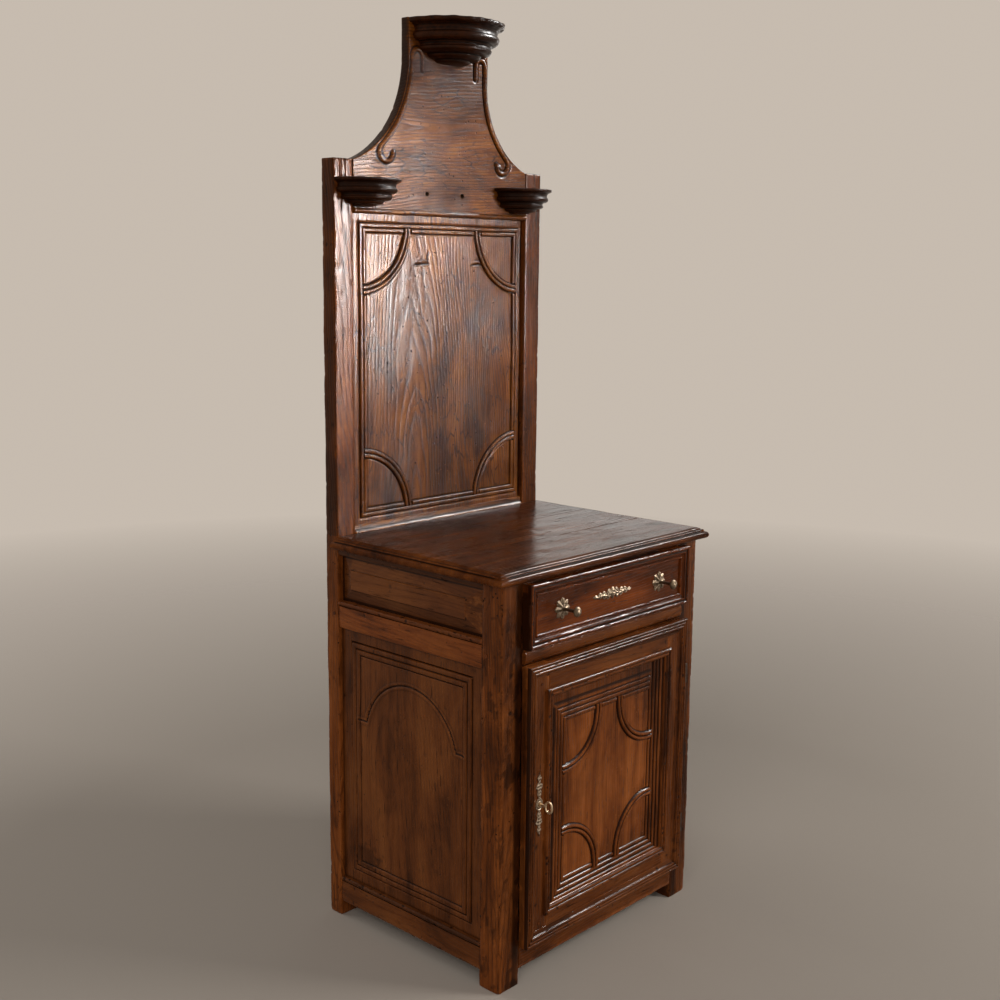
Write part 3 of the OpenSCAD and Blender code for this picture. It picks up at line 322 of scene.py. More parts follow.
def mark(item, where, value):
    """Moves the ridge attribute of the marked vertices to a value, so that dirt and painted shade
    (below 0), or rubbed wear and a painted highlight (above 0), lie there; a ridge of the same sign
    is added whole, and one of the other sign by three tenths. where is a mask, or a function of the
    places in millimetres."""
    if callable(where):
        points = np.zeros(len(item.data.vertices) * 3)
        item.data.vertices.foreach_get("co", points)
        where = where(*(points[axis::3] / MM for axis in (X, Y, Z)))
    kept = item.data.attributes["ridge"].data
    ridge = np.zeros(len(kept))
    kept.foreach_get("value", ridge)
    moved = value + np.where(ridge * value > 0, ridge, 0.3 * ridge)
    kept.foreach_set("value", np.where(where, moved, ridge))


def blotch(x, y, z, reach, seed, share):
    """True in uneven patches about as large as reach, drawn out along Z."""
    points = np.stack([x, y, 0.4 * z], -1)
    return wander(points, reach, seed) + 0.5 * wander(points, reach / 3, seed + 1) > share


def finish(item, material, slot, body, *nodes):
    """Gives a new piece its material and its body, and hides what it stands for. slot is not used.
    """
    item.data.materials.append(material)
    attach(item, body)
    if nodes:
        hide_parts(*nodes)
    return item


def block_outline(x0, x1, y0, y1, radius, counts):
    """Outline of a block with rounded corners, for every station: four quarter circles joined
    by straight faces. x0, x1, y0, y1 and radius are numbers or one value per station; counts
    gives the points inside the four faces, from the y0 face on, or their places as shares."""
    x0, x1, y0, y1, radius = (np.atleast_1d(np.asarray(v, float))[:, None]
                              for v in (x0, x1, y0, y1, radius))
    parts = []
    angles = np.radians(np.linspace(-90, 0, 5))
    centres = ((x1 - radius, y0 + radius), (x1 - radius, y1 - radius),
               (x0 + radius, y1 - radius), (x0 + radius, y0 + radius))
    arcs = []
    for turn, (cx, cy) in enumerate(centres):
        a = angles + turn * np.pi / 2
        round_x, round_y = cx + radius * np.cos(a), cy + radius * np.sin(a)
        arcs.append(np.stack(np.broadcast_arrays(round_x, round_y), -1))
    for side in range(4):
        share = counts[side]
        if np.ndim(share) == 0:
            share = (np.arange(share) + 1) / (share + 1)
        share = np.asarray(share)[None, :, None]
        start, end = arcs[side - 1][:, -1:], arcs[side][:, :1]
        parts += [start + (end - start) * share, arcs[side]]
    stations = max(len(p) for p in parts)
    return np.concatenate([np.broadcast_to(p, (stations,) + p.shape[1:]) for p in parts], 1)


def outward(outline):
    """Unit normals and convexity of closed outlines (n, k, 2): the tangent turned by a right
    angle, and the turn between neighbouring sides, averaged over three, as a share of 0.25
    radians."""
    ahead = np.roll(outline, -1, 1) - outline
    behind = outline - np.roll(outline, 1, 1)
    tangent = ahead + behind
    tangent /= np.linalg.norm(tangent, axis=-1, keepdims=True) + 1e-9
    normal = np.stack([tangent[..., 1], -tangent[..., 0]], -1)
    area = (outline[..., 0] * np.roll(outline, -1, 1)[..., 1]
            - outline[..., 1] * np.roll(outline, -1, 1)[..., 0]).sum(1)
    way = np.where(area < 0, -1.0, 1.0)[:, None]
    cross = behind[..., 0] * ahead[..., 1] - behind[..., 1] * ahead[..., 0]
    turn = np.arctan2(cross, (ahead * behind).sum(-1)) * way
    turn = (turn + np.roll(turn, 1, 1) + np.roll(turn, -1, 1)) / 3
    return normal * way[..., None], np.clip(turn / 0.25, 0, 1)


def age(points, normals, convex, seed, amount=1.0, nicks=None):
    """Old wood: faces swell and sink slowly, knocks dent them, and convex edges are rubbed and
    nicked. Each is a displacement along the normals."""
    length = np.ptp(points.reshape(-1, 3), axis=0).max()
    nicks = max(4, int(length / 16)) if nicks is None else nicks
    convex = np.broadcast_to(convex, points.shape[:-1])
    out = form("wave") * wander(points, 110, seed)
    out -= form("dent") * knocks(points, nicks // 2, 6, seed + 1)
    rub = np.clip(0.5 + 0.6 * wander(points, 70, seed + 2), 0, 1.5)
    edge = form("worn_edge") * rub + 0.1 * (1 + wander(points, 11, seed + 4))
    edge = edge + form("nick") * np.clip(knocks(points, nicks, 2.8, seed + 3, convex > 0.6), 0, 1)
    return points + normals * ((out - edge * convex) * amount)[..., None]


def carried(name, axis, low, high, outline, seed=0, step=4, end=1.6, amount=1.0):
    """A closed outline carried in a straight line along an axis from low to high. Both ends are
    rounded: at a distance d from the end the outline is inset by r - sqrt(r^2 - (r - d)^2).
    outline is an array, or a function that gives one for the stations."""
    turn = np.radians(np.array([0, 25, 50, 90]))
    lip = end * (1 - np.cos(turn))
    inner = np.linspace(low + end, high - end, max(3, int((high - low) / step)))[1:-1]
    t = np.concatenate([low + lip, inner, (high - lip)[::-1]])
    inset = np.zeros(len(t))
    inset[:4] = end * (1 - np.sin(turn))
    inset[-4:] = inset[:4][::-1]
    shape = outline(t) if callable(outline) else np.asarray(outline, float)
    if shape.ndim == 2:
        shape = shape[None]
    shape = np.broadcast_to(shape, (len(t),) + shape.shape[1:]).copy()
    normal, convex = outward(shape)
    shape -= normal * inset[:, None, None]
    others = [k for k in (X, Y, Z) if k != axis]
    points = np.zeros(shape.shape[:2] + (3,))
    normals = np.zeros_like(points)
    points[..., axis] = t[:, None]
    for k, other in enumerate(others):
        points[..., other] = shape[..., k]
        normals[..., other] = normal[..., k]
    points = age(points, normals, convex, seed, amount)
    return tube(name, points, axis, seed)


def board(name, low, high, axis=None, radius=1.8, per_face=None, **settings):
    """A straight board between two corners, carried along its longest side."""
    low, high = np.asarray(low, float), np.asarray(high, float)
    axis = int(np.argmax(high - low)) if axis is None else axis
    a, b = [k for k in (X, Y, Z) if k != axis]
    counts = per_face or [max(2, int((high[k] - low[k]) / 9)) for k in (a, b, a, b)]
    outline = block_outline(low[a], high[a], low[b], high[b], radius, counts)
    return carried(name, axis, low[axis], high[axis], outline[0], **settings)


def slab(name, us, vs, face, rim, place, grain=X, seed=0, sides=(1, 1, 1, 1)):
    """A board seen from its face. The face is a grid of us by vs raised by face(u, v). Its rim
    follows (outset, depth) pairs round the four sides, in the order v low, u high, v high and
    u low, each side moved out by its own share in sides. The back is closed flat."""
    u, v = np.meshgrid(us, vs, indexing="ij")
    height = face(u, v)
    rows, columns = u.shape
    number = np.arange(rows * columns).reshape(rows, columns)
    loop = np.concatenate([number[:-1, 0], number[-1, :-1], number[:0:-1, -1], number[0, :0:-1]])
    go_u, go_v = np.zeros((rows, columns)), np.zeros((rows, columns))
    go_v[:, 0], go_v[:, -1] = -sides[0], sides[2]
    go_u[-1, :], go_u[0, :] = sides[1], -sides[3]
    lu, lv, lh = u.ravel()[loop], v.ravel()[loop], height.ravel()[loop]
    gu, gv = go_u.ravel()[loop], go_v.ravel()[loop]
    last = rim[-1][1]
    parts = [np.stack([u.ravel(), v.ravel(), height.ravel()], -1)]
    for out, depth in rim:
        parts.append(np.stack([lu + gu * out, lv + gv * out, lh * (1 - depth / last) - depth], -1))
    flat = np.concatenate(parts)
    quads = [grid_faces(rows, columns, closed=False)]
    ring = rows * columns + np.arange(len(rim) * len(loop)).reshape(len(rim), -1)
    rings = np.concatenate([loop[None], ring])
    nxt = np.roll(rings, -1, 1)
    band = np.stack([rings[:-1], rings[1:], nxt[1:], nxt[:-1]], -1)[..., ::-1]
    quads.append(band.reshape(-1, 4))
    points = np.stack(np.broadcast_arrays(*place(flat[:, 0], flat[:, 1], flat[:, 2])), -1)
    return make(name, points, np.concatenate(quads), (rings[-1],), grain, seed)


def round_rim(radius, thickness):
    """Rim of a plain board: a quarter circle from the face to the side, then straight back."""
    turn = np.radians(np.linspace(0, 90, 5))[1:]
    pairs = [(radius * math.sin(a), radius * (1 - math.cos(a))) for a in turn]
    return pairs + [(radius, thickness * 0.5), (radius, thickness - 0.6), (radius - 0.6, thickness)]


def front_face(y):
    """Places a slab that faces the front: u is X, v is Z and the height goes towards -Y."""
    return lambda u, v, h: (u, y - h, v)


def framed(name, centre, half_w, half_h, face_y, section, seed=0, step=3, back=-1.0):
    """A moulding carried round a rectangle that faces the front, with mitred corners: its
    section (s, h) runs in from the outer edge, and at s the rectangle is smaller by s on each
    side. The section is closed along h = back, and the ends of four sides share their points."""
    s, h = np.asarray(section, float).T
    s = np.concatenate([s, s[::-1][[0, -1]]])
    h = np.concatenate([h, [back, back] if np.ndim(back) == 0 else back])
    outline = np.stack([s, h], -1)[None]
    normal, convex = outward(outline)
    rows, along = [], []
    corners = ((-1, -1), (1, -1), (1, 1), (-1, 1))
    for side in range(4):
        length = 2 * (half_w if side % 2 == 0 else half_h)
        t = np.linspace(0, 1, int(length / step))
        t = np.concatenate([[0, 0.4 / length], t[1:-1], [1 - 0.4 / length]])[:, None]
        a, b = corners[side], corners[(side + 1) % 4]
        w, q = half_w - s[None], half_h - s[None]
        rows.append(np.stack([(a[0] + (b[0] - a[0]) * t) * w, (a[1] + (b[1] - a[1]) * t) * q], -1))
        along.append(np.broadcast_to(t * length + side * 700, rows[-1].shape[:2]))
    plan = np.concatenate(rows)
    along = np.concatenate(along)
    # the way in from the outer edge, which is where the normal's first part points
    inward = np.zeros_like(plan)
    first = 0
    for side, way in enumerate(((0, 1), (-1, 0), (0, -1), (1, 0))):
        inward[first:first + len(rows[side])] = way
        first += len(rows[side])
    points = np.stack([centre[0] + plan[..., 0], face_y - np.broadcast_to(h, along.shape),
                       centre[1] + plan[..., 1]], -1)
    normals = np.stack([inward[..., 0] * normal[..., 0],
                        -np.broadcast_to(normal[..., 1], along.shape),
                        inward[..., 1] * normal[..., 0]], -1)
    convex = np.broadcast_to(convex * (outline[..., 1] > 0.3), along.shape)
    points = age(points, normals, convex, seed, nicks=70)
    grain = np.stack([along, np.broadcast_to(s, along.shape), np.broadcast_to(h, along.shape)], -1)
    count, columns = along.shape
    closed = grid_faces(count, columns)
    seam = grid_faces(2, columns)
    seam = np.where(seam >= columns, seam - columns, seam + (count - 1) * columns)
    return make(name, points, np.concatenate([closed, seam]), (), grain, seed)


# Materials


def node(tree, kind, inputs=None, **settings):
    """A shader node with its settings; inputs are values or sockets by name or number."""
    new = tree.nodes.new(kind)
    for key, value in settings.items():
        setattr(new, key, value)
    for key, value in (inputs or {}).items():
        if isinstance(value, bpy.types.NodeSocket):
            tree.links.new(value, new.inputs[key])
        else:
            new.inputs[key].default_value = value
    return new


def ramp(tree, factor, *stops):
    """A colour ramp through (place, colour or grey) stops."""
    new = node(tree, "ShaderNodeValToRGB", {0: factor})
    while len(new.color_ramp.elements) < len(stops):
        new.color_ramp.elements.new(0.5)
    for element, (place, colour) in zip(new.color_ramp.elements, stops):
        element.position = place
        element.color = (*colour, 1) if np.ndim(colour) else (colour, colour, colour, 1)
    return new.outputs["Color"]


def mix(tree, factor, one, two):
    """Two colours mixed by a factor."""
    new = node(tree, "ShaderNodeMix", {0: factor}, data_type="RGBA")
    for number, value in ((6, one), (7, two)):
        if isinstance(value, bpy.types.NodeSocket):
            tree.links.new(value, new.inputs[number])
        else:
            new.inputs[number].default_value = (*value, 1)
    return new.outputs[2]


def math_node(tree, how, one, two=0.0, clamp=False):
    """One sum of two values."""
    return node(tree, "ShaderNodeMath", {0: one, 1: two}, operation=how, use_clamp=clamp).outputs[0]


def noise(tree, vector, scale, detail=3.0, roughness=0.55, distortion=0.0):
    """Soft noise from 0 to 1."""
    return node(tree, "ShaderNodeTexNoise", {
        "Vector": vector, "Scale": scale, "Detail": detail, "Roughness": roughness,
        "Distortion": distortion}).outputs["Fac"]


def stretched(tree, vector, factors):
    """A vector times three factors."""
    return node(tree, "ShaderNodeVectorMath", {0: vector, 1: factors},
                operation="MULTIPLY").outputs[0]


def new_group(name, inputs, outputs):
    """An empty shader node group with named sockets; returns it and its two end nodes."""
    group = bpy.data.node_groups.new(name, "ShaderNodeTree")
    for label, kind in inputs:
        group.interface.new_socket(name=label, in_out="INPUT", socket_type=kind)
    for label in outputs:
        group.interface.new_socket(name=label, in_out="OUTPUT", socket_type="NodeSocketFloat")
    return group, node(group, "NodeGroupInput"), node(group, "NodeGroupOutput")


def grain_group():
    """Timber seen along its grain. Rings are growth rings about an axis tilted against it, so
    that they close in pointed arches on a wide board. Fibre and Streak are fine and broad noise
    drawn out along the grain, Pores are short dashes, Checks are thin cracks between long cells,
    here and there, and Tone is the change over a board."""
    group, start, end = new_group(
        "Timber Grain", [("Vector", "NodeSocketVector"), ("Rings", "NodeSocketFloat")],
        ("Fibre", "Streak", "Rings", "Pores", "Checks", "Tone"))
    along = start.outputs["Vector"]
    wobble = node(group, "ShaderNodeTexNoise", {
        "Vector": stretched(group, along, (2.4, 8, 8)), "Scale": 1.0, "Detail": 2.0})
    centred = node(group, "ShaderNodeVectorMath", {0: wobble.outputs["Color"], 1: (0.5, 0.5, 0.5)},
                   operation="SUBTRACT").outputs[0]
    pushed = stretched(group, centred, (0.0, 0.045, 0.045))
    bent = node(group, "ShaderNodeVectorMath", {0: along, 1: pushed}, operation="ADD").outputs[0]
    tilted = node(group, "ShaderNodeMapping", {
        "Vector": bent, "Rotation": (0.0, 0.075, 0.04)}, vector_type="POINT").outputs[0]
    rings = node(group, "ShaderNodeTexWave", {
        "Vector": stretched(group, tilted, (0.05, 1, 1)), "Scale": start.outputs["Rings"],
        "Distortion": 1.6, "Detail": 3.0, "Detail Scale": 2.0, "Detail Roughness": 0.6},
        wave_type="RINGS", rings_direction="X", wave_profile="SAW").outputs["Fac"]
    late = ramp(group, rings, (0.0, 0.5), (0.16, 0.0), (0.62, 0.0), (0.94, 1.0))
    fibre = noise(group, stretched(group, bent, (12, 330, 330)), 1.0, 4, 0.6)
    streak = noise(group, stretched(group, bent, (2.2, 48, 48)), 1.0, 4, 0.62)
    pores = noise(group, stretched(group, bent, (19, 270, 270)), 1.0, 3, 0.6)
    early = math_node(group, "MULTIPLY_ADD", late, -0.05)
    group.links.new(pores, early.node.inputs[2])
    net = node(group, "ShaderNodeTexVoronoi", {"Vector": stretched(group, bent, (17, 80, 80)),
                                               "Scale": 1.0}, feature="DISTANCE_TO_EDGE")
    cracked = ramp(group, noise(group, along, 11.0, 3, 0.6), (0.48, 0.0), (0.58, 1.0))
    checks = math_node(group, "MULTIPLY", ramp(group, net.outputs["Distance"], (0.02, 1.0),
                                               (0.07, 0.0)), cracked)
    tone = noise(group, stretched(group, along, (4.2, 10, 10)), 1.0, 5, 0.62, 0.6)
    for label, value in (("Fibre", ramp(group, fibre, (0.30, 0.0), (0.70, 1.0))), ("Rings", late),
                         ("Streak", ramp(group, streak, (0.32, 0.0), (0.68, 1.0))),
                         ("Pores", ramp(group, early, (0.31, 1.0), (0.36, 0.0))),
                         ("Checks", checks),
                         ("Tone", ramp(group, tone, (0.34, 0.0), (0.66, 1.0)))):
        group.links.new(value, end.inputs[label])
    return group


def wear_group():
    """Where hands and cloths have been, with painted light and shade among it. Polish And Highlight
    is
    on the ridges: rubbed wear, and partly a painted highlight. Grime And Shade is in the grooves
    and wherever mark() sets the ridge below 0: dirt, and partly painted shade. Bloom is old wax
    gone grey in patches, Stain is dark soaking, Worm are small round beetle holes, and Specks are
    tiny chips of the finish."""
    group, start, end = new_group(
        "Wax Wear And Painted Light", [("Vector", "NodeSocketVector"), ("Worm", "NodeSocketFloat")],
        ("Polish And Highlight", "Grime And Shade", "Bloom", "Stain", "Worm", "Specks"))
    place = start.outputs["Vector"]
    ridge = node(group, "ShaderNodeAttribute", attribute_name="ridge").outputs["Fac"]
    uneven = ramp(group, noise(group, place, 60.0, 4, 0.65), (0.50, 0.0), (0.60, 1.0))
    # Rubbed ridges, lighter as wear and partly as a painted highlight.
    polish_and_highlight = math_node(group, "MULTIPLY", ridge, uneven, clamp=True)
    # Groove bottoms and marked places, darker as dirt and partly as painted shade.
    grime_and_shade = math_node(group, "MULTIPLY", ridge, -2.6, clamp=True)
    bloom = ramp(group, noise(group, place, 4.2, 5, 0.65), (0.52, 0.0), (0.70, 1.0))
    stain = ramp(group, noise(group, place, 5.1, 6, 0.7), (0.50, 0.0), (0.68, 1.0))
    cells = node(group, "ShaderNodeTexVoronoi", {"Vector": place, "Scale": 62.0})
    dots = ramp(group, cells.outputs["Distance"], (0.080, 1.0), (0.135, 0.0))
    where = ramp(group, noise(group, place, 9.0, 2), (0.50, 0.0), (0.56, 1.0))
    holes = math_node(group, "MULTIPLY", math_node(group, "MULTIPLY", dots, where),
                      start.outputs["Worm"])
    grains = node(group, "ShaderNodeTexVoronoi", {"Vector": place, "Scale": 95.0})
    points = ramp(group, grains.outputs["Distance"], (0.09, 1.0), (0.17, 0.0))
    here = ramp(group, noise(group, place, 17.0, 3, 0.6), (0.52, 0.0), (0.60, 1.0))
    specks = math_node(group, "MULTIPLY", points, here)
    for label, value in (("Polish And Highlight", polish_and_highlight), ("Grime And Shade", grime_and_shade), ("Bloom", bloom),
                         ("Stain", stain), ("Worm", holes), ("Specks", specks)):
        group.links.new(value, end.inputs[label])
    return group


def shared(name, builder):
    """A node group made on its first use."""
    return bpy.data.node_groups.get(name) or builder()


def place_on_grain(tree, axis):
    """Grain place: the piece's own attribute, or the object's coordinates with an axis first."""
    if axis is None:
        return node(tree, "ShaderNodeAttribute", attribute_name="grain").outputs["Vector"]
    place = node(tree, "ShaderNodeTexCoord").outputs["Object"]
    if axis == X:
        return place
    parts = node(tree, "ShaderNodeSeparateXYZ", {0: place}).outputs
    order = [axis] + [k for k in (X, Y, Z) if k != axis]
    return node(tree, "ShaderNodeCombineXYZ", {k: parts[v] for k, v in enumerate(order)}).outputs[0]


def scaled(colour, factor):
    """A colour made darker or lighter."""
    return tuple(factor * part for part in colour)


def timber(name, shade, body, light, axis=None, rough=0.25, bloom=0.2, stain=0.5, rings=46.0,
           worm=1.0, relief=1.0, coat=0.04, contrast=1.0, specular=0.14, streaks=1.0,
           lines=0.16, checks=0.0):
    """Waxed timber: fibre, ring and tone masks give the colour between shade and light, dark pores,
    stains, dirt and painted shade lie over it, and rubbed ridges, partly a painted highlight, and
    old wax lighten it."""
    found = bpy.data.materials.get(name)
    if found:
        return found
    material = bpy.data.materials.new(name)
    material.use_nodes = True
    tree = material.node_tree
    shader = tree.nodes["Principled BSDF"]
    grain = node(tree, "ShaderNodeGroup", node_tree=shared("Timber Grain", grain_group))
    tree.links.new(place_on_grain(tree, axis), grain.inputs["Vector"])
    grain.inputs["Rings"].default_value = rings
    wear = node(tree, "ShaderNodeGroup", node_tree=shared("Wax Wear And Painted Light", wear_group))
    tree.links.new(node(tree, "ShaderNodeTexCoord").outputs["Object"], wear.inputs["Vector"])
    wear.inputs["Worm"].default_value = worm
    masks, worn = grain.outputs, wear.outputs
    figure = blend(tree, (masks["Fibre"], 0.12 * streaks), (masks["Streak"], 0.30 * streaks),
                   (masks["Tone"], 0.86 - 0.42 * streaks), (masks["Rings"], -0.06))
    middle, half = 0.43, 0.40 / contrast
    colour = ramp(tree, figure, (middle - half * 0.9, shade), (middle, body),
                  (middle + half, light))
    for mask, amount, tint in (
            (masks["Rings"], lines, scaled(shade, 1.2)),
            (masks["Pores"], 0.75, scaled(shade, 0.4)),
            (masks["Checks"], checks, scaled(shade, 0.4)),
            (worn["Stain"], stain, scaled(shade, 1.3)),
            (worn["Bloom"], bloom, tuple(0.3 * part + 0.035 for part in body)),
            (worn["Specks"], 0.45, scaled(light, 1.2)),
            # Polish And Highlight lightens rubbed ridges, partly as a painted highlight; Grime And
            # Shade darkens grooves and marked places, partly as painted shade.
            (worn["Polish And Highlight"], 0.40, scaled(light, 1.2)),
            (worn["Grime And Shade"], 0.92, scaled(shade, 0.3)),
            (worn["Worm"], 1.0, scaled(shade, 0.15))):
        colour = mix(tree, math_node(tree, "MULTIPLY", mask, amount), colour, tint)
    tree.links.new(colour, shader.inputs["Base Color"])
    dull = blend(tree, (masks["Fibre"], 0.06), (masks["Rings"], 0.08), (masks["Pores"], 0.22),
                 (worn["Bloom"], 0.06), (worn["Polish And Highlight"], -0.05), (worn["Grime And Shade"], 0.12),
                 (masks["Streak"], 0.05), start=rough - 0.06)
    tree.links.new(dull, shader.inputs["Roughness"])
    high = blend(tree, (masks["Fibre"], 0.10 * streaks), (masks["Streak"], 0.14 * streaks),
                 (masks["Rings"], -lines), (masks["Pores"], -0.5),
                 (masks["Checks"], -0.25 * checks), (worn["Worm"], -3.0))
    bump = node(tree, "ShaderNodeBump", {"Strength": 0.6, "Distance": 0.0006 * relief,
                                         "Height": high})
    tree.links.new(bump.outputs["Normal"], shader.inputs["Normal"])
    wax = blend(tree, (masks["Rings"], -0.3 * coat), (masks["Pores"], -0.7 * coat), start=coat)
    tree.links.new(wax, shader.inputs["Coat Weight"])
    shader.inputs["Coat Roughness"].default_value = 0.14
    shader.inputs["Specular IOR Level"].default_value = specular
    return material


def blend(tree, *parts, start=0.0):
    """A weighted sum of masks on top of a start value."""
    total = None
    for mask, weight in parts:
        step = node(tree, "ShaderNodeMath", {0: mask, 1: weight, 2: start},
                    operation="MULTIPLY_ADD")
        if total:
            tree.links.new(total, step.inputs[2])
        total = step.outputs[0]
    return total


def metal(name, colour, rough, patina, strength=1.0):
    """Old metal: rubbed bright on its ridges and dull with patina in patches and hollows."""
    found = bpy.data.materials.get(name)
    if found:
        return found
    material = bpy.data.materials.new(name)
    material.use_nodes = True
    tree = material.node_tree
    shader = tree.nodes["Principled BSDF"]
    place = node(tree, "ShaderNodeTexCoord").outputs["Object"]
    wear = node(tree, "ShaderNodeGroup", node_tree=shared("Wax Wear And Painted Light", wear_group))
    tree.links.new(place, wear.inputs["Vector"])
    wear.inputs["Worm"].default_value = 0.0
    spots = ramp(tree, noise(tree, place, 160.0, 5, 0.65), (0.38, 0.0), (0.66, 1.0))
    tone = mix(tree, math_node(tree, "MULTIPLY", spots, strength), colour, patina)
    tone = mix(tree, math_node(tree, "MULTIPLY", wear.outputs["Grime And Shade"], 0.8), tone,
               tuple(0.3 * c for c in patina))
    tree.links.new(tone, shader.inputs["Base Color"])
    tree.links.new(ramp(tree, spots, (0.0, rough), (1.0, rough + 0.25)), shader.inputs["Roughness"])
    shader.inputs["Metallic"].default_value = 1.0
    bump = node(tree, "ShaderNodeBump", {
        "Strength": 0.5, "Distance": 0.0004, "Height": noise(tree, place, 420.0, 4, 0.6)})
    tree.links.new(bump.outputs["Normal"], shader.inputs["Normal"])
    return material


def tinted(colour, red=1.0, green=1.0, blue=1.0):
    """A colour with its three parts scaled."""
    return (min(colour[0] * red, 1), min(colour[1] * green, 1), min(colour[2] * blue, 1))


def wood(slot, axis=None):
    """The timber of a material slot, or a lighter or darker copy of it for the middle side rails
    and the drawer. With an axis it is for a CAD node, whose grain runs that way."""
    look = bpy.context.scene.cabinet_finish
    shade, body, light = tuple(look.shade), tuple(look.body), tuple(look.light)
    name = "aged_" + slot + ("" if axis is None else "_" + "xyz"[axis])
    looks = {
        "case_wood": dict(bloom=0.05, relief=1.5, specular=0.10, rough=0.24, contrast=1.3,
                          stain=0.5, streaks=1.2, coat=0.02, lines=0.4, checks=0.5),
        "side_wood": dict(bloom=0.0, worm=0.6, stain=0.2, contrast=0.9, streaks=0.8),
        "rail_wood": dict(bloom=0.0, worm=0.5, stain=0.2, contrast=1.1, streaks=1.2),
        "front_wood": dict(bloom=0.0, worm=0.35, relief=0.9, stain=0.25, streaks=1.0, rough=0.19,
                           specular=0.11, coat=0.02, contrast=1.1),
        "drawer_wood": dict(bloom=0.0, worm=0.5, relief=0.9, stain=0.45, streaks=1.0, rough=0.19,
                            specular=0.11, coat=0.02, contrast=1.2),
        "top_wood": dict(bloom=0.0, worm=0.2, relief=0.5, rough=0.24, specular=0.06, coat=0.0,
                         contrast=1.3),
        "backboard_wood": dict(bloom=0.35, relief=1.15, contrast=1.25, rough=0.22, specular=0.13,
                               coat=0.01, stain=0.35, streaks=0.75, lines=0.6, checks=0.8),
        "corbel_wood": dict(bloom=0.0, worm=0.0, rough=0.30, coat=0.03, specular=0.10, relief=0.1),
        "peg_wood": dict(bloom=0.1, worm=0.0),
        "inner_wood": dict(bloom=0.5, worm=0.3, rough=0.7, coat=0.0, stain=0.3),
    }
    tones = {
        "case_wood": (shade, tinted(body, 1.03, 1.1, 1.1), light),
        "side_wood": (shade, tinted(body, 0.9, 1.07, 1.4), tinted(light, 0.8, 0.91, 1.08)),
        "rail_wood": (shade, tinted(body, 1.2, 1.25, 1.4), light),
        "front_wood": (shade, tinted(body, 1.27, 1.36, 1.4), tinted(light, 1.18, 1.25, 1.4)),
        "drawer_wood": (shade, tinted(body, 0.72, 0.6, 0.4), tinted(light, 0.85, 0.66, 0.4)),
        "top_wood": (scaled(shade, 0.5), tinted(body, 0.55, 0.55, 0.5),
                     tinted(light, 0.6, 0.58, 0.5)),
        "backboard_wood": (shade, tinted(body, 0.93, 1.06, 0.7), tinted(light, 1.02, 1.12, 0.8)),
        "corbel_wood": (scaled(shade, 0.3), scaled(body, 0.13), scaled(body, 0.38)),
        "peg_wood": (shade, scaled(body, 0.7), body),
        "inner_wood": (tinted(look.raw, 0.5, 0.45, 0.4), tuple(look.raw),
                       tinted(look.raw, 1.5, 1.5, 1.5)),
    }
    return timber(name, *tones[slot], axis=axis, **looks[slot])


def ironwork(slot):
    """The metal of a material slot."""
    look = bpy.context.scene.cabinet_finish
    iron, mount = tuple(look.iron), tuple(look.mount)
    name = "aged_" + slot
    if slot == "mount_metal":
        return metal(name, tinted(mount, 0.82, 0.74, 0.7), 0.36,
                     tinted(mount, 0.24, 0.19, 0.16), 0.95)
    if slot == "knob_metal":
        return metal(name, tinted(mount, 0.6, 0.54, 0.5), 0.3, tinted(mount, 0.2, 0.16, 0.14), 0.8)
    return metal(name, iron, 0.42, tinted(iron, 0.4, 0.3, 0.25), 0.9)


def timbered(item, slot, body, *nodes, look=None):
    """Finishes a new piece in the timber of its slot, or in another look instead."""
    return finish(item, wood(look or slot), slot, body, *nodes)


def dress_node(name, material):
    """Gives a CAD node that stays in view a better material."""
    item = NODES[name]
    item.data.materials.clear()
    item.data.materials.append(material)


# The cabinet's pieces


class Maker(bpy.types.Operator):
    """Shared settings of the cabinet's operators."""

    bl_options = {"REGISTER", "UNDO"}


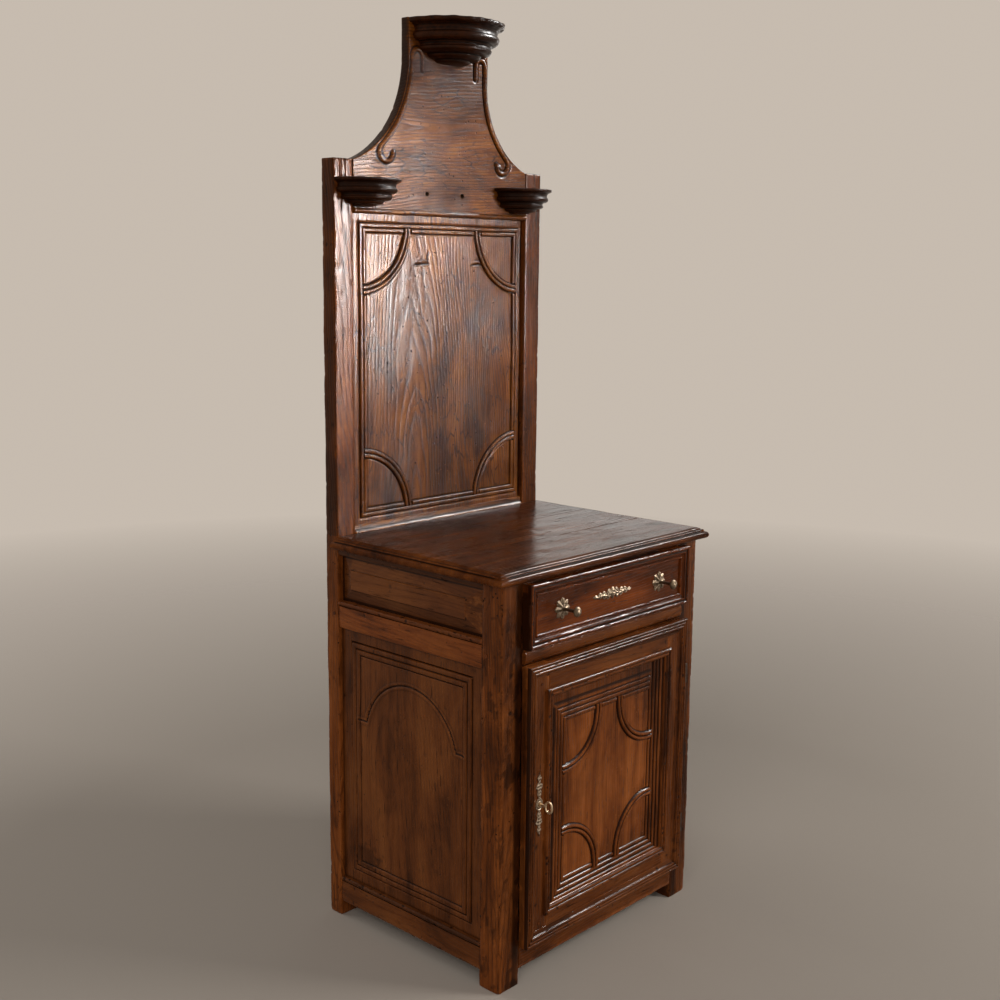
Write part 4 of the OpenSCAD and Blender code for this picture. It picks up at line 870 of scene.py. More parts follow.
class CABINET_OT_posts(Maker):
    """Front posts and back stiles, rubbed along their corners."""

    bl_idname = "cabinet.posts"
    bl_label = "Posts and stiles"

    def execute(self, context):
        for side, word in ((LEFT, "left"), (RIGHT, "right")):
            node_name = f"front_post_{word}"
            low, high = span(node_name)
            item = board(node_name + "_worn", low, high, radius=2.6, per_face=(9, 8, 9, 8),
                         seed=10 + side, step=3, end=2.0, amount=1.7)
            mark(item, lambda x, y, z: blotch(x, y, z, 34, 35 + side, 0.75), -0.2)
            # Painted shade: the post's front face is darkened, more so its part towards the door
            # and drawer, and its back end.
            mark(item, lambda x, y, z: y < low[Y] + 1.5, -0.1)
            middle = abs(low[X] + high[X]) / 2
            mark(item, lambda x, y, z: (y > high[Y] - 5) | (np.abs(x) < middle - 8), -0.24)
            timbered(item, "case_wood", "case", node_name)
            node_name = f"back_stile_{word}"
            low, high = span(node_name)
            item = carried(node_name + "_worn", Z, low[Z], high[Z],
                           self.stile(low, high, side), seed=14 + side, step=3, end=2.5)
            # Painted shade inside the clefts at the top of the stile.
            mark(item, lambda x, y, z: (z > high[Z] - 90) & (y > low[Y] + 3) & (y < low[Y] + 30)
                   & (x > low[X] + 4) & (x < high[X] - 4), -1)
            # Painted shade on the stile's outer side face above the tabletop.
            mark(item, lambda x, y, z: (np.abs(x) > outermost(low, high) - 1.6)
                   & (z > span("tabletop")[1][Z]), -0.26)
            timbered(item, "case_wood", "case", node_name)
        return {"FINISHED"}

    # place across the face, depth and reach of each cleft
    clefts = {LEFT: ((0.30, 20.0, 70.0), (0.42, 30.0, 110.0), (0.63, 16.0, 50.0)),
              RIGHT: ((0.55, 15.0, 60.0),)}

    @classmethod
    def stile(cls, low, high, side):
        """Outline of a stile whose top is split: near the top the face opens in narrow clefts
        that deepen as they rise."""
        clefts = cls.clefts[side]
        share = np.linspace(0, 1, 11)[1:-1]
        for place, _, _ in clefts:
            share = np.concatenate([share, place + np.array([-0.03, -0.012, 0, 0.012, 0.03])])
        share = np.unique(np.round(share, 4))

        def outline(t):
            shape = block_outline(low[X], high[X], low[Y], high[Y], np.full(len(t), 2.0),
                                  (share, 7, 8, 7))
            for place, depth, reach in clefts:
                opening = np.clip((t - high[Z] + reach) / reach, 0, 1) ** 1.5
                near = np.abs(share - place) < 0.004
                at = np.nonzero(near)[0]
                shape[:, at, 1] += (opening * depth)[:, None]
            return shape

        return outline


class CABINET_OT_rails(Maker):
    """Rails of the sides, the front and the back."""

    bl_idname = "cabinet.rails"
    bl_label = "Rails"

    def execute(self, context):
        post = span("front_post_right")
        stile = span("back_stile_right")
        for side, word in ((LEFT, "left"), (RIGHT, "right")):
            for k, part in enumerate(("top", "mid", "bottom")):
                node_name = f"side_{part}_rail_{word}"
                low, high = span(node_name)
                outer = outermost(low, high)
                inner = min(abs(low[X]), abs(high[X]))
                outline = self.beaded(inner, outer, low[Z], high[Z], part != "top")
                outline[:, 0] *= side
                item = carried(node_name + "_worn", Y, post[1][Y] - 0.5, stile[0][Y] + 0.5,
                               outline, seed=20 + 3 * k + side, end=0.6, amount=0.7)
                # Painted shade: darker along the lower edge, along and under the bead, and at the
                # ends against post and stile.
                mark(item, lambda x, y, z: (z < low[Z] + 3) | (z > high[Z] - 13)
                     | (y < post[1][Y] + 2) | (y > stile[0][Y] - 2), -0.25)
                timbered(item, "side_wood", "case", node_name,
                         look="rail_wood" if part == "mid" else None)
        reach = post[0][X]
        for k, part in enumerate(("top", "mid", "bottom")):
            node_name = f"front_{part}_rail"
            low, high = span(node_name)
            if part == "mid":
                outline = self.band(low, high)
            else:
                outline = block_outline(low[Y], high[Y], low[Z], high[Z], 1.2, (3, 6, 3, 6))[0]
            wide = high[X] if part == "mid" and high[X] < reach + 8 else reach
            item = carried(node_name + "_worn", X, -wide, wide, outline, seed=30 + k, end=0.8,
                           step=3)
            mark(item, lambda x, y, z: z > 0, -0.2)
            timbered(item, "front_wood", "case", node_name)
            node_name = f"back_{part}_rail"
            low, high = span(node_name)
            low[X], high[X] = -stile[0][X], stile[0][X]
            item = board(node_name + "_worn", low, high, seed=40 + k, end=0.6, radius=1.2)
            timbered(item, "inner_wood", "case", node_name)
        return {"FINISHED"}

    @staticmethod
    def beaded(inner, outer, low, high, bead):
        """Outline in X and Z of a side rail: a rectangle, and with a bead a half circle that
        stands out 2 mm along its upper edge."""
        radius = 5.5
        face = outer - 2 if bead else outer
        if not bead:
            return block_outline(inner, outer, low, high, 1.2, (2, 6, 2, 6))[0]
        turn = np.radians(np.linspace(-82, 90, 13))
        bulge = np.stack([outer - radius + radius * np.cos(turn),
                          high - radius + radius * np.sin(turn)], -1)
        foot = np.stack([np.full(9, face), np.linspace(low + 1.5, high - 2 * radius - 0.6, 9)], -1)
        rest = [(inner, high), (inner, (low + high) / 2), (inner, low), (face - 1.2, low)]
        return np.concatenate([foot, bulge, np.array(rest)])

    @staticmethod
    def band(low, high):
        """Outline in Y and Z of the rail between the drawer and the door: a flat round in front
        of a plain rail."""
        body = span("front_post_right")[0][Y]
        bottom, top = low[Z] + 12, high[Z] - 12
        turn = np.radians(np.linspace(-90, 90, 17))
        middle = (bottom + top) / 2
        face = np.stack([body - (body - low[Y]) * np.cos(turn) ** 0.7,
                         middle + (top - bottom) / 2 * np.sin(turn)], -1)
        rest = [(body + 0.5, high[Z] - 9), (body + 0.5, high[Z]), (high[Y], high[Z]),
                (high[Y], low[Z]), (body + 0.5, low[Z]), (body + 0.5, low[Z] + 9)]
        return np.concatenate([face, np.array(rest)])


class CABINET_OT_side_panels(Maker):
    """Frieze panels and lower panels of the two sides."""

    bl_idname = "cabinet.side_panels"
    bl_label = "Side panels"

    def execute(self, context):
        post, stile = span("front_post_right")[1][Y], span("back_stile_right")[0][Y]
        for side, word in ((LEFT, "left"), (RIGHT, "right")):
            node_name = f"side_panel_{word}"
            low, high = span(node_name)
            face = outermost(low, high)
            low_z = span("side_bottom_rail_left")[1][Z] - 1
            top_z = span("side_mid_rail_left")[0][Z] + 1
            relief = self.scratched(post, stile, low_z + 1, top_z - 1, side)
            us = ticks((post - 3, post + 26, 5), (post + 26, post + 66, 0.9),
                       (post + 66, stile - 66, 3.2), (stile - 66, stile - 26, 0.9),
                       (stile - 26, stile + 3, 5))
            vs = ticks((low_z - 3, low_z + 22, 5), (low_z + 22, low_z + 62, 0.9),
                       (low_z + 62, ARCH_Z, 6), (ARCH_Z, top_z - 62, 1.7),
                       (top_z - 62, top_z - 22, 0.9), (top_z - 22, top_z + 3, 5))
            item = slab(node_name + "_worn", us, vs, relief, [(0, 4), (0, 11), (-0.5, 12)],
                        lambda u, v, h: (side * (face + h), u, v), grain=Z, seed=50 + side)
            # Painted shade: darker within 6 mm of the posts and rails, and slightly so within 58
            # mm.
            for reach, depth in ((6, -0.3), (58, -0.06)):
                mark(item, lambda x, y, z: (np.abs(x) > face - 6) & (
                    frame_gap(y, z, post, stile, low_z, top_z) < reach), depth)
            if side == LEFT:
                mark(item, lambda x, y, z: np.hypot((y - 175) / 45, (z - 160) / 28) + 0.35 * wander(
                    np.stack([x, y, z], -1), 16, 58) < 0.9, -0.2)
            timbered(item, "side_wood", "case", node_name)
            node_name = f"frieze_panel_{word}"
            low, high = span(node_name)
            face = outermost(low, high)
            us = ticks((low[Y], post + 54, 1.2), (post + 54, stile - 44, 6),
                       (stile - 44, high[Y], 1.2))
            vs = ticks((low[Z], high[Z], 1.0))
            z0, z1 = low[Z] + 6, high[Z] - 6
            relief = self.fielded(post, stile, z0, z1, side)
            item = slab(node_name + "_worn", us, vs, relief, [(0, 2), (0, 5), (-0.5, 6)],
                        lambda u, v, h: (side * (face - 9 + h), u, v), grain=Y, seed=54 + side)

            def facet(y, z):
                """True on the bevel beside the front post."""
                return (y - post < 50) & ((y - post) * 0.7 < np.minimum(z - z0, z1 - z))

            # Painted shade along the edges where the frieze panel meets posts and rails.
            mark(item, lambda x, y, z: (np.abs(x) > face - 11) & (
                frame_gap(y, z, post, stile, z0, z1) < 6), -0.28)
            # Painted shade: the field and the bevels other than the front one darker, more so the
            # lower and back bevels.
            mark(item, lambda x, y, z: ~facet(y, z), -0.06)
            mark(item, lambda x, y, z: ~facet(y, z) & ((z - z0 < 30) | (stile - y < 34)), -0.1)
            # Painted highlight: the front bevel beside the post is lightened as if lit.
            mark(item, lambda x, y, z: facet(y, z) & (y - post > 6), 1.0)
            timbered(item, "side_wood", "case", node_name)
        return {"FINISHED"}

    @staticmethod
    def scratched(y0, y1, z0, z1, side):
        """Height of the lower panel: a frame of three round bottomed lines, at 32.5, 45.5 and
        58.5 mm from the posts, and an arch of one line with short ears."""
        middle = (y0 + y1) / 2

        def face(u, v):
            points = in_plane(u, v, 40 * side)
            in_u = np.minimum(u - y0 - 31, y1 - 31 - u)
            in_v = np.minimum(v - z0 - 25, z1 - 25 - v)
            inside = np.minimum(in_u, in_v)
            cut = np.zeros_like(u)
            for k, depth in ((0, 3.2), (13, 2.8), (26, 2.4)):
                cut = np.maximum(cut, depth * groove(np.abs(inside - k - 1.5), 4.6))
            strip = np.mod(inside - 1.5, 13) / 6.5 - 1
            swell = 2.0 * np.sqrt(np.clip(1 - strip**2, 0, 1)) * (inside > 1.5) * (inside < 27.5)
            gap = arc_gap(u, v, (middle, ARCH_Z), 137.5, 12.6, 167.4)
            for way in (-1, 1):
                ear = line_gap(u, v, (middle + way * 134, 470), (middle + way * 158, 470))
                gap = np.minimum(gap, ear)
            cut = np.maximum(cut, 2.8 * groove(gap, 5.0))
            plane = 0.5 * wander(points, 130, 5 + side) + 0.25 * wander(points, 35, 6 + side)
            dents = 0.9 * knocks(points, 26, 8, 7 + side)
            lift = 0.8 * np.exp(-((gap - 4.8) / 2.5) ** 2)
            return swell + lift + plane - cut - dents

        return face

    @staticmethod
    def fielded(y0, y1, z0, z1, side):
        """Height of the frieze panel: it rises 6.6 mm over bevels, 48 mm wide in front, 32 mm
        behind and 30 mm above and below, mitred where they meet, up to a flat field with a step
        of 1.8 mm."""

        def face(u, v):
            points = in_plane(u, v, 80 * side)
            rise = np.minimum(np.minimum(u - y0 - 3, 48) / 48, np.minimum(y1 - 3 - u, 32) / 32)
            rise = np.clip(np.minimum(rise, np.minimum(v - z0, z1 - v) / 30), 0, 1)
            step = 1.8 * smooth((rise - 0.95) / 0.04)
            wave = 0.35 * wander(points, 80, 9 + side)
            return 6.6 * rise + step + wave - 0.5 * knocks(points, 9, 6, 3)

        return face


class CABINET_OT_tabletop(Maker):
    """The tabletop with its moulded edge."""

    bl_idname = "cabinet.tabletop"
    bl_label = "Tabletop"

    def execute(self, context):
        low, high = span("tabletop")
        back = span("back_stile_right")[0][Y] - 0.2
        edge = 19.0
        us = ticks((low[X] + edge, high[X] - edge, 6))
        vs = ticks((low[Y] + edge, back, 6), (low[Y] + 176, low[Y] + 184, 0.7),
                   (low[Y] + 338, low[Y] + 344, 0.7))

        def face(u, v):
            points = in_plane(u, v)
            joints = 0.7 * groove(np.abs(v - low[Y] - 180 - 0.006 * u), 1.8)
            joints += 0.5 * groove(np.abs(v - low[Y] - 341 + 0.004 * u), 1.5)
            cup = 0.5 * wander(points, 240, 61)
            flat = 0.25 * wander(points, 60, 62)
            return np.minimum(cup + flat - 0.9, 0) - joints - 0.8 * knocks(points, 34, 10, 63)

        turn = np.radians(np.linspace(62, -90, 11))
        rim = [(0.8, 0.5), (3.2, 1.2), (4.6, 3.0), (5.0, 3.9), (8.5, 4.1), (10.2, 5.4), (10.8, 8.2)]
        rim += [(11 + 8 * math.cos(a), 17 - 8 * math.sin(a)) for a in turn]
        rim += [(4, 25.0)]
        item = slab("tabletop_worn", us, vs, face, rim, lambda u, v, h: (u, v, high[Z] + h),
                    grain=X, seed=60, sides=(1, 1, 0, 1))
        self.wear_rim(item, high[Z])
        timbered(item, "top_wood", "case", "tabletop")
        inner = span("back_stile_right")[0][X]
        item = board("tabletop_tongue", (-inner, back - 1, low[Z]), (inner, high[Y], high[Z] - 1.2),
                     axis=X, seed=66, end=0.5, radius=0.6)
        timbered(item, "top_wood", "case")
        return {"FINISHED"}

    @staticmethod
    def wear_rim(item, top):
        """Rubs and nicks the round nose: vertices move in by slow noise and sharp knocks."""
        mesh = item.data
        points = np.zeros(len(mesh.vertices) * 3, np.float32)
        mesh.vertices.foreach_get("co", points)
        points = points.reshape(-1, 3) / MM
        normals = np.zeros(len(mesh.vertices) * 3, np.float32)
        mesh.vertex_normals.foreach_get("vector", normals)
        normals = normals.reshape(-1, 3)
        rim = (points[:, 2] < top - 1.5).astype(float)
        push = (0.4 * np.clip(wander(points, 60, 64) - 0.2, -0.3, 1)
                + 1.2 * knocks(points, 60, 5, 65))
        points -= normals * (np.clip(push, 0, 2.2) * rim)[:, None]
        mesh.vertices.foreach_set("co", (points * MM).astype(np.float32).ravel())
        mesh.update()


class CABINET_OT_backboard(Maker):
    """The upper panel, the rail under it and the bead over it."""

    bl_idname = "cabinet.backboard"
    bl_label = "Backboard"

    def execute(self, context):
        inner = span("back_stile_right")[0][X]
        rail_low, rail_high = span("upper_bottom_rail")
        bead_low, bead_high = span("crest_bead")
        face_y = span("upper_panel")[0][Y] + 3.5
        bottom, top = rail_high[Z], bead_low[Z]
        w, z0, z1 = inner - 19, bottom + 14, top - 18
        middle, h = (z0 + z1) / 2, (z1 - z0) / 2

        def face(u, v):
            points = in_plane(u, v)
            dx, dz = w - np.abs(u), h - np.abs(v - middle)
            inside = np.minimum(dx, dz)
            frame_line = moulded(inside, 2, 20.0, 3.8, 1.5)
            rho = np.hypot(dx, dz)
            arc_in = 150 - rho
            arc_line = moulded(arc_in, 2, 20.0, 5.2, 2.0)
            taken = (arc_in > -1.6) & (arc_in < 21.6) & (inside > 9.5)
            height = np.where(taken, arc_line, frame_line)
            clear = (arc_in < -2) | (arc_in > 22)
            for x0, x1 in ((-84, -44), (94, 129)):
                line = line_gap(u, v, (x0, z1 - 86), (x1, z1 - 84))
                stroke = line_gap(u, v, (x1 - 4, z1 - 82), (x1, z1 - 58))
                height -= 2.6 * (groove(line, 5.0) + 0.7 * groove(stroke, 4.5)) * clear
                lip = line_gap(u, v, (x0 + 8, z1 - 80), (x1 - 4, z1 - 79))
                height += 1.8 * np.exp(-((lip / 2.4) ** 2)) * clear
            sunk = smooth((150 - rho) / 3) * (dx > 0) * (dz > 0) * 0.8
            plane = 0.7 * wander(points, 190, 71) + 0.12 * wander(points, 55, 72)
            gap = 7 * smooth((u - inner + 10) / 2)
            return height + plane - sunk - gap - 0.35 * knocks(points, 24, 7, 73)

        us = ticks((-inner - 4, -w - 2, 4), (-w - 2, -w + 22, 0.8), (-w + 22, -w + 156, 2.0),
                   (-w + 156, w - 156, 3.2), (w - 156, w - 22, 2.0), (w - 22, w + 2, 0.8),
                   (w + 2, inner - 11, 4), (inner - 11, inner + 4, 1.5))
        vs = ticks((bottom - 4, z0 - 2, 5), (z0 - 2, z0 + 22, 0.8), (z0 + 22, z0 + 156, 2.0),
                   (z0 + 156, z1 - 156, 6), (z1 - 156, z1 - 22, 2.0), (z1 - 22, z1 + 2, 0.8),
                   (z1 + 2, top + 4, 4))
        item = slab("upper_panel_worn", us, vs, face, [(0, 3), (0, 13), (-0.5, 14)],
                    front_face(face_y), grain=Z, seed=70)
        for gap, line, reach in ((np.minimum, 10, 11), (np.hypot, 140, 12)):
            mark(item, lambda x, y, z: np.abs(
                gap(w - np.abs(x), h - np.abs(z - middle)) - line) < reach, -0.07)
        # Painted shade in the gap where the panel sinks beside the right stile.
        mark(item, lambda x, y, z: (x > inner - 9) & (y < face_y + 9), -0.8)
        timbered(item, "backboard_wood", "case", "upper_panel")
        y0, y1 = rail_low[Y], rail_high[Y]
        z0, z1 = rail_low[Z], rail_high[Z]
        outline = np.array([(y0, z0), (y0, z0 + 1), (y0 + 2, z0 + 3), (y0 + 4, z0 + 5),
                            (y0 + 4.6, z0 + 8), (y0 + 5, z1 - 0.8), (y0 + 6.5, z1), (y1 - 1, z1),
                            (y1, z1 - 1), (y1, z0)])
        item = carried("upper_bottom_rail_worn", X, -inner + 0.3, inner - 0.3, outline, seed=75,
                       end=0.4, amount=0.15)
        mark(item, lambda x, y, z: z > z0 + 6, -0.2)
        timbered(item, "backboard_wood", "case", "upper_bottom_rail")
        low, high = bead_low, bead_high
        turn = np.radians(np.linspace(-90, -270, 15))
        middle, radius = (low[Z] + high[Z]) / 2, (high[Z] - low[Z]) / 2
        front = low[Y] + radius
        bulge = np.stack([front + radius * np.cos(turn), middle + radius * np.sin(turn)], -1)
        outline = np.concatenate([bulge, np.array([(high[Y], high[Z]), (high[Y], low[Z])])])
        item = carried("crest_bead_worn", X, -inner + 0.3, inner - 0.3, outline, seed=76, end=0.4,
                       step=3, amount=0.5)
        timbered(item, "backboard_wood", "case", "crest_bead")
        return {"FINISHED"}


class CABINET_OT_crest(Maker):
    """The waisted crest board with its carved line and two hanging holes."""

    bl_idname = "cabinet.crest"
    bl_label = "Crest"

    shift = 13.0
    neck = 122.0
    hollows = {LEFT: 235.0, RIGHT: 192.0}
    hole_x, hole_up = 54.5, 36

    def execute(self, context):
        stile = span("back_stile_right")
        low, high = span("crest_board")
        inner, shoulder = stile[0][X] - 0.3, stile[1][Z]
        front = stile[0][Y]
        back = high[Y]
        spread = np.concatenate([
            np.linspace(low[Z] - 3, shoulder - 6, 40), shoulder - np.array([4, 2.5, 1.5, 0.8, 0.3]),
            shoulder + np.array([0, 0.4, 0.9, 1.6, 2.5, 3.6, 5, 7, 9]),
            np.linspace(shoulder + 11, high[Z] - 2, 118), high[Z] - np.array([1.2, 0.5, 0.15, 0])])
        left, right = (np.array([self.edge(z, side, inner, shoulder) for z in spread])
                       for side in (LEFT, RIGHT))
        radius = np.full(len(spread), 2.6)
        shape = block_outline(left, right, np.full(len(spread), front), np.full(len(spread), back),
                              radius, (150, 3, 24, 3))
        normal, convex = outward(shape)
        points = np.stack([shape[..., 0], shape[..., 1],
                           np.broadcast_to(spread[:, None], shape.shape[:2])], -1)
        normals = np.stack([normal[..., 0], normal[..., 1], normal[..., 0] * 0], -1)
        at_front = np.clip(-normal[..., 1], 0, 1)
        relief = self.carving(points[..., 0], points[..., 2], shoulder, high[Z])
        points = age(points, normals, convex, 90, amount=1.0, nicks=22)
        points[..., 1] -= relief * at_front
        fade = np.minimum((high[Z] - spread) / 2.0, 1)
        points[..., 1] += ((1 - np.sqrt(np.clip(fade, 0, 1))) * 2)[:, None] * normal[..., 1] * -1
        item = tube("crest_board_worn", points, X, 90)
        # Painted shade on the crest's side faces.
        mark(item, np.abs(normal[..., 0]).ravel() > 0.7, -0.42)
        hole_z = low[Z] + self.hole_up
        for k, x in enumerate((-self.hole_x, self.hole_x)):
            self.bore(item, x, hole_z, front, back, 5.0 + 0.4 * k)
        # Painted shade inside the hanging holes.
        mark(item, lambda x, y, z: (np.hypot(np.abs(x) - self.hole_x, z - hole_z) < 6.5)
             & (y > front + 1) & (y < back - 2), -1)
        timbered(item, "backboard_wood", "case", "crest_board")
        return {"FINISHED"}

    def centre(self, side, inner, shoulder):
        """Centre and radius of a hollow: its circle touches the upright neck and ends on the
        stile, so its centre stands sqrt(r^2 - (r - reach)^2) above the shoulder."""
        radius = self.hollows[side]
        edge = self.neck + side * self.shift
        reach = inner + 0.3 - edge
        return edge + radius, shoulder + math.sqrt(radius**2 - (radius - reach) ** 2), radius

    def edge(self, z, side, inner, shoulder):
        """X of the crest's side at a height."""
        if z <= shoulder:
            return side * inner
        x, top, radius = self.centre(side, inner, shoulder)
        if z >= top:
            return side * (x - radius)
        return side * min(inner, x - math.sqrt(radius**2 - (top - z) ** 2))

    def carving(self, x, z, shoulder, top):
        """Height of the carved line: a ridge along a circle 10 mm inside each hollow, with a
        curl at each end, and a round gouged line beside it."""
        height = np.zeros_like(x)
        inner = span("back_stile_right")[0][X] - 0.3
        for side in (LEFT, RIGHT):
            cx, cz, radius = self.centre(side, inner, shoulder)
            u = side * x
            line = radius + 10
            gap = arc_gap(u, z, (cx, cz), line, 180, 230)
            knee = (cx - line, cz)
            gap = np.minimum(gap, line_gap(u, z, knee, (knee[0], top - 78)))
            gap = np.minimum(gap, arc_gap(u, z, (knee[0] - 15, top - 78), 15, 0, 180))
            gap = np.minimum(gap, line_gap(u, z, (knee[0] - 30, top - 78),
                                           (knee[0] - 30, top - 105)))
            angle = math.radians(230)
            curl = (cx + (line + 19) * math.cos(angle), cz + (line + 19) * math.sin(angle))
            gap = np.minimum(gap, arc_gap(u, z, curl, 19, -180, 50))
            height = np.maximum(height, 4.2 * np.sqrt(np.clip(1 - (gap / 5.2) ** 2, 0, 1)))
            height -= 2.6 * np.exp(-((gap - 6.8) / 1.6) ** 2)
        return height

    @staticmethod
    def bore(item, x, z, front, back, radius):
        """Cuts a round hole through the board."""
        turn = np.linspace(0, 2 * np.pi, 25)[:-1]
        ring = np.stack([x + radius * np.cos(turn), turn * 0, z + radius * np.sin(turn)], -1)
        places = (front - 9, front + 1.2, front + 3, back - 3, back + 9)
        tool = tube("hole_cutter", np.stack([ring + (0, place, 0) for place in places]))
        cut = item.modifiers.new("hole", "BOOLEAN")
        cut.object, cut.operation, cut.solver = tool, "DIFFERENCE", "EXACT"
        depsgraph = bpy.context.evaluated_depsgraph_get()
        mesh = bpy.data.meshes.new_from_object(item.evaluated_get(depsgraph))
        item.modifiers.clear()
        item.data = mesh
        bpy.data.objects.remove(tool)
        mesh.set_sharp_from_angle(angle=SHARP)


class CABINET_OT_corbels(Maker):
    """Three half round corbels turned in steps."""

    bl_idname = "cabinet.corbels"
    bl_label = "Corbels"

    def execute(self, context):
        for k, word in enumerate(("left", "right", "top")):
            node_name = f"corbel_{word}"
            low, high = span(node_name)
            item = self.corbel(node_name + "_worn", (low[X] + high[X]) / 2, high[Y], low[Z],
                               high[Z], (high[X] - low[X]) / 2, 100 + k,
                               rough=1.6 if word == "top" else 1.0)
            timbered(item, "corbel_wood", "case", node_name)
        return {"FINISHED"}

    # share of the height from the top, and share of the radius there
    profile = ((0, 0.955), (0.005, 0.985), (0.03, 1.0), (0.09, 0.995), (0.125, 0.96), (0.135, 0.93),
               (0.18, 0.885), (0.26, 0.862), (0.335, 0.87), (0.35, 0.895), (0.41, 0.905),
               (0.48, 0.885), (0.52, 0.84), (0.53, 0.775), (0.59, 0.742), (0.65, 0.75),
               (0.665, 0.765), (0.72, 0.758), (0.765, 0.715), (0.785, 0.63), (0.795, 0.565),
               (0.85, 0.555), (0.89, 0.515), (0.91, 0.44), (0.92, 0.375), (0.96, 0.365),
               (0.985, 0.33), (1.0, 0.26))

    @classmethod
    def corbel(cls, name, x, back, bottom, top, radius, seed, rough):
        """A half circle carried upwards along a moulded profile of lip, hollow and three beads;
        a straight line closes the back."""
        share, reach = np.array(cls.profile).T
        fine = np.interp(np.linspace(0, len(share) - 1, 3 * len(share)), np.arange(len(share)),
                         share)
        z = (top - fine * (top - bottom))[::-1]
        reach = radius * np.interp(fine, share, reach)[::-1]
        height = (top - bottom) / 6
        turn = np.radians(np.linspace(180, 360, 109))
        half = np.stack([np.cos(turn), np.sin(turn)], -1)
        line = np.linspace(1, -1, 30)[1:-1]
        shape = np.concatenate([half, np.stack([line, line * 0], -1)])
        ring = shape[None] * reach[:, None, None]
        points = np.stack([x + ring[..., 0], back + ring[..., 1],
                           np.broadcast_to(z[:, None], ring.shape[:2])], -1)
        away = np.stack([ring[..., 0], ring[..., 1], ring[..., 0] * 0], -1)
        away /= np.linalg.norm(away, axis=-1, keepdims=True) + 1e-6
        front = smooth(-shape[:, 1] / 0.25)[None]
        rim = smooth((points[..., 2] - (top - height * 1.3)) / height)
        worn = 0.8 * wander(points, 38, seed) + 0.3 * wander(points, 19, seed + 1)
        worn = worn * (0.5 + rim) * rough
        chips = 1.6 * knocks(points, 12, 5.0, seed + 2, (rim > 0.5) & (front > 0.5)) * rough
        chips += 0.8 * knocks(points, 16, 4.0, seed + 3)
        points = points - away * (np.clip(0.6 * rough + worn + chips, 0, 5) * front)[..., None]
        sink = np.clip(1 + wander(points, 30, seed + 4), 0, 2)
        points[..., 2] -= front * rim * 0.5 * rough * sink
        return tube(name, points, X, seed)


class CABINET_OT_drawer(Maker):
    """The drawer: front, moulding and box."""

    bl_idname = "cabinet.drawer"
    bl_label = "Drawer"

    def execute(self, context):
        low, high = span("drawer_front")
        us = ticks((low[X] + 1, high[X] - 1, 5))
        vs = ticks((low[Z] + 1, high[Z] - 1, 4))

        def face(u, v):
            points = in_plane(u, v)
            return (0.35 * wander(points, 110, 121) + 0.15 * wander(points, 30, 122)
                    - 0.7 * knocks(points, 22, 6, 123) - 0.3)

        item = slab("drawer_front_worn", us, vs, face, round_rim(1.0, high[Y] - low[Y]),
                    front_face(low[Y]), grain=X, seed=120)
        mark(item, lambda x, y, z: z > 0, -0.06)
        timbered(item, "front_wood", "drawer", "drawer_front", look="drawer_wood")
        low, high = span("drawer_moulding")
        face_y = span("drawer_front")[0][Y]
        proud = face_y - low[Y]
        back = high[Y] - face_y
        bead, hollow = 3.5, proud - 2
        turn = np.radians(np.linspace(180, 12, 11))
        section = [(0, -back), (0, 0), (0, proud - bead - 0.4), (0.4, proud - bead - 0.1)]
        section += [(4 + bead * math.cos(a), proud - bead + bead * math.sin(a)) for a in turn]
        section += [(7.6, proud - bead)]
        centre = 21.8
        section += [(x, proud - math.sqrt(hollow**2 - (x - centre) ** 2)) for x in
                    np.linspace(centre - 7.9, 20.4, 10)]
        section += [(20.6 + 3.2 - 3.2 * math.cos(a), 1.6 + 3.2 * math.sin(a))
                    for a in np.radians(np.linspace(15, 180, 10))]
        item = framed("drawer_moulding_worn", (0, (low[Z] + high[Z]) / 2), high[X],
                      (high[Z] - low[Z]) / 2, face_y, self.finely(section), seed=124,
                      back=(-1.5, -back))
        mark(item, lambda x, y, z: z > 0, -0.09)
        # Painted shade on the moulding's outer side faces at both ends.
        mark(item, lambda x, y, z: np.abs(x) > high[X] - 2, -0.3)
        timbered(item, "front_wood", "drawer", "drawer_moulding", look="drawer_wood")
        for k, node_name in enumerate(("drawer_side_left", "drawer_side_right", "drawer_back",
                                       "drawer_bottom")):
            low, high = span(node_name)
            item = board(node_name + "_worn", low, high, seed=130 + k, radius=1.0, end=0.8,
                         amount=0.5)
            timbered(item, "inner_wood", "drawer", node_name)
        return {"FINISHED"}

    @staticmethod
    def finely(section):
        """The same line without points closer than 0.05 mm."""
        section = np.array(section)
        apart = np.linalg.norm(np.diff(section, axis=0), axis=1) > 0.05
        return section[np.concatenate([[True], apart])]


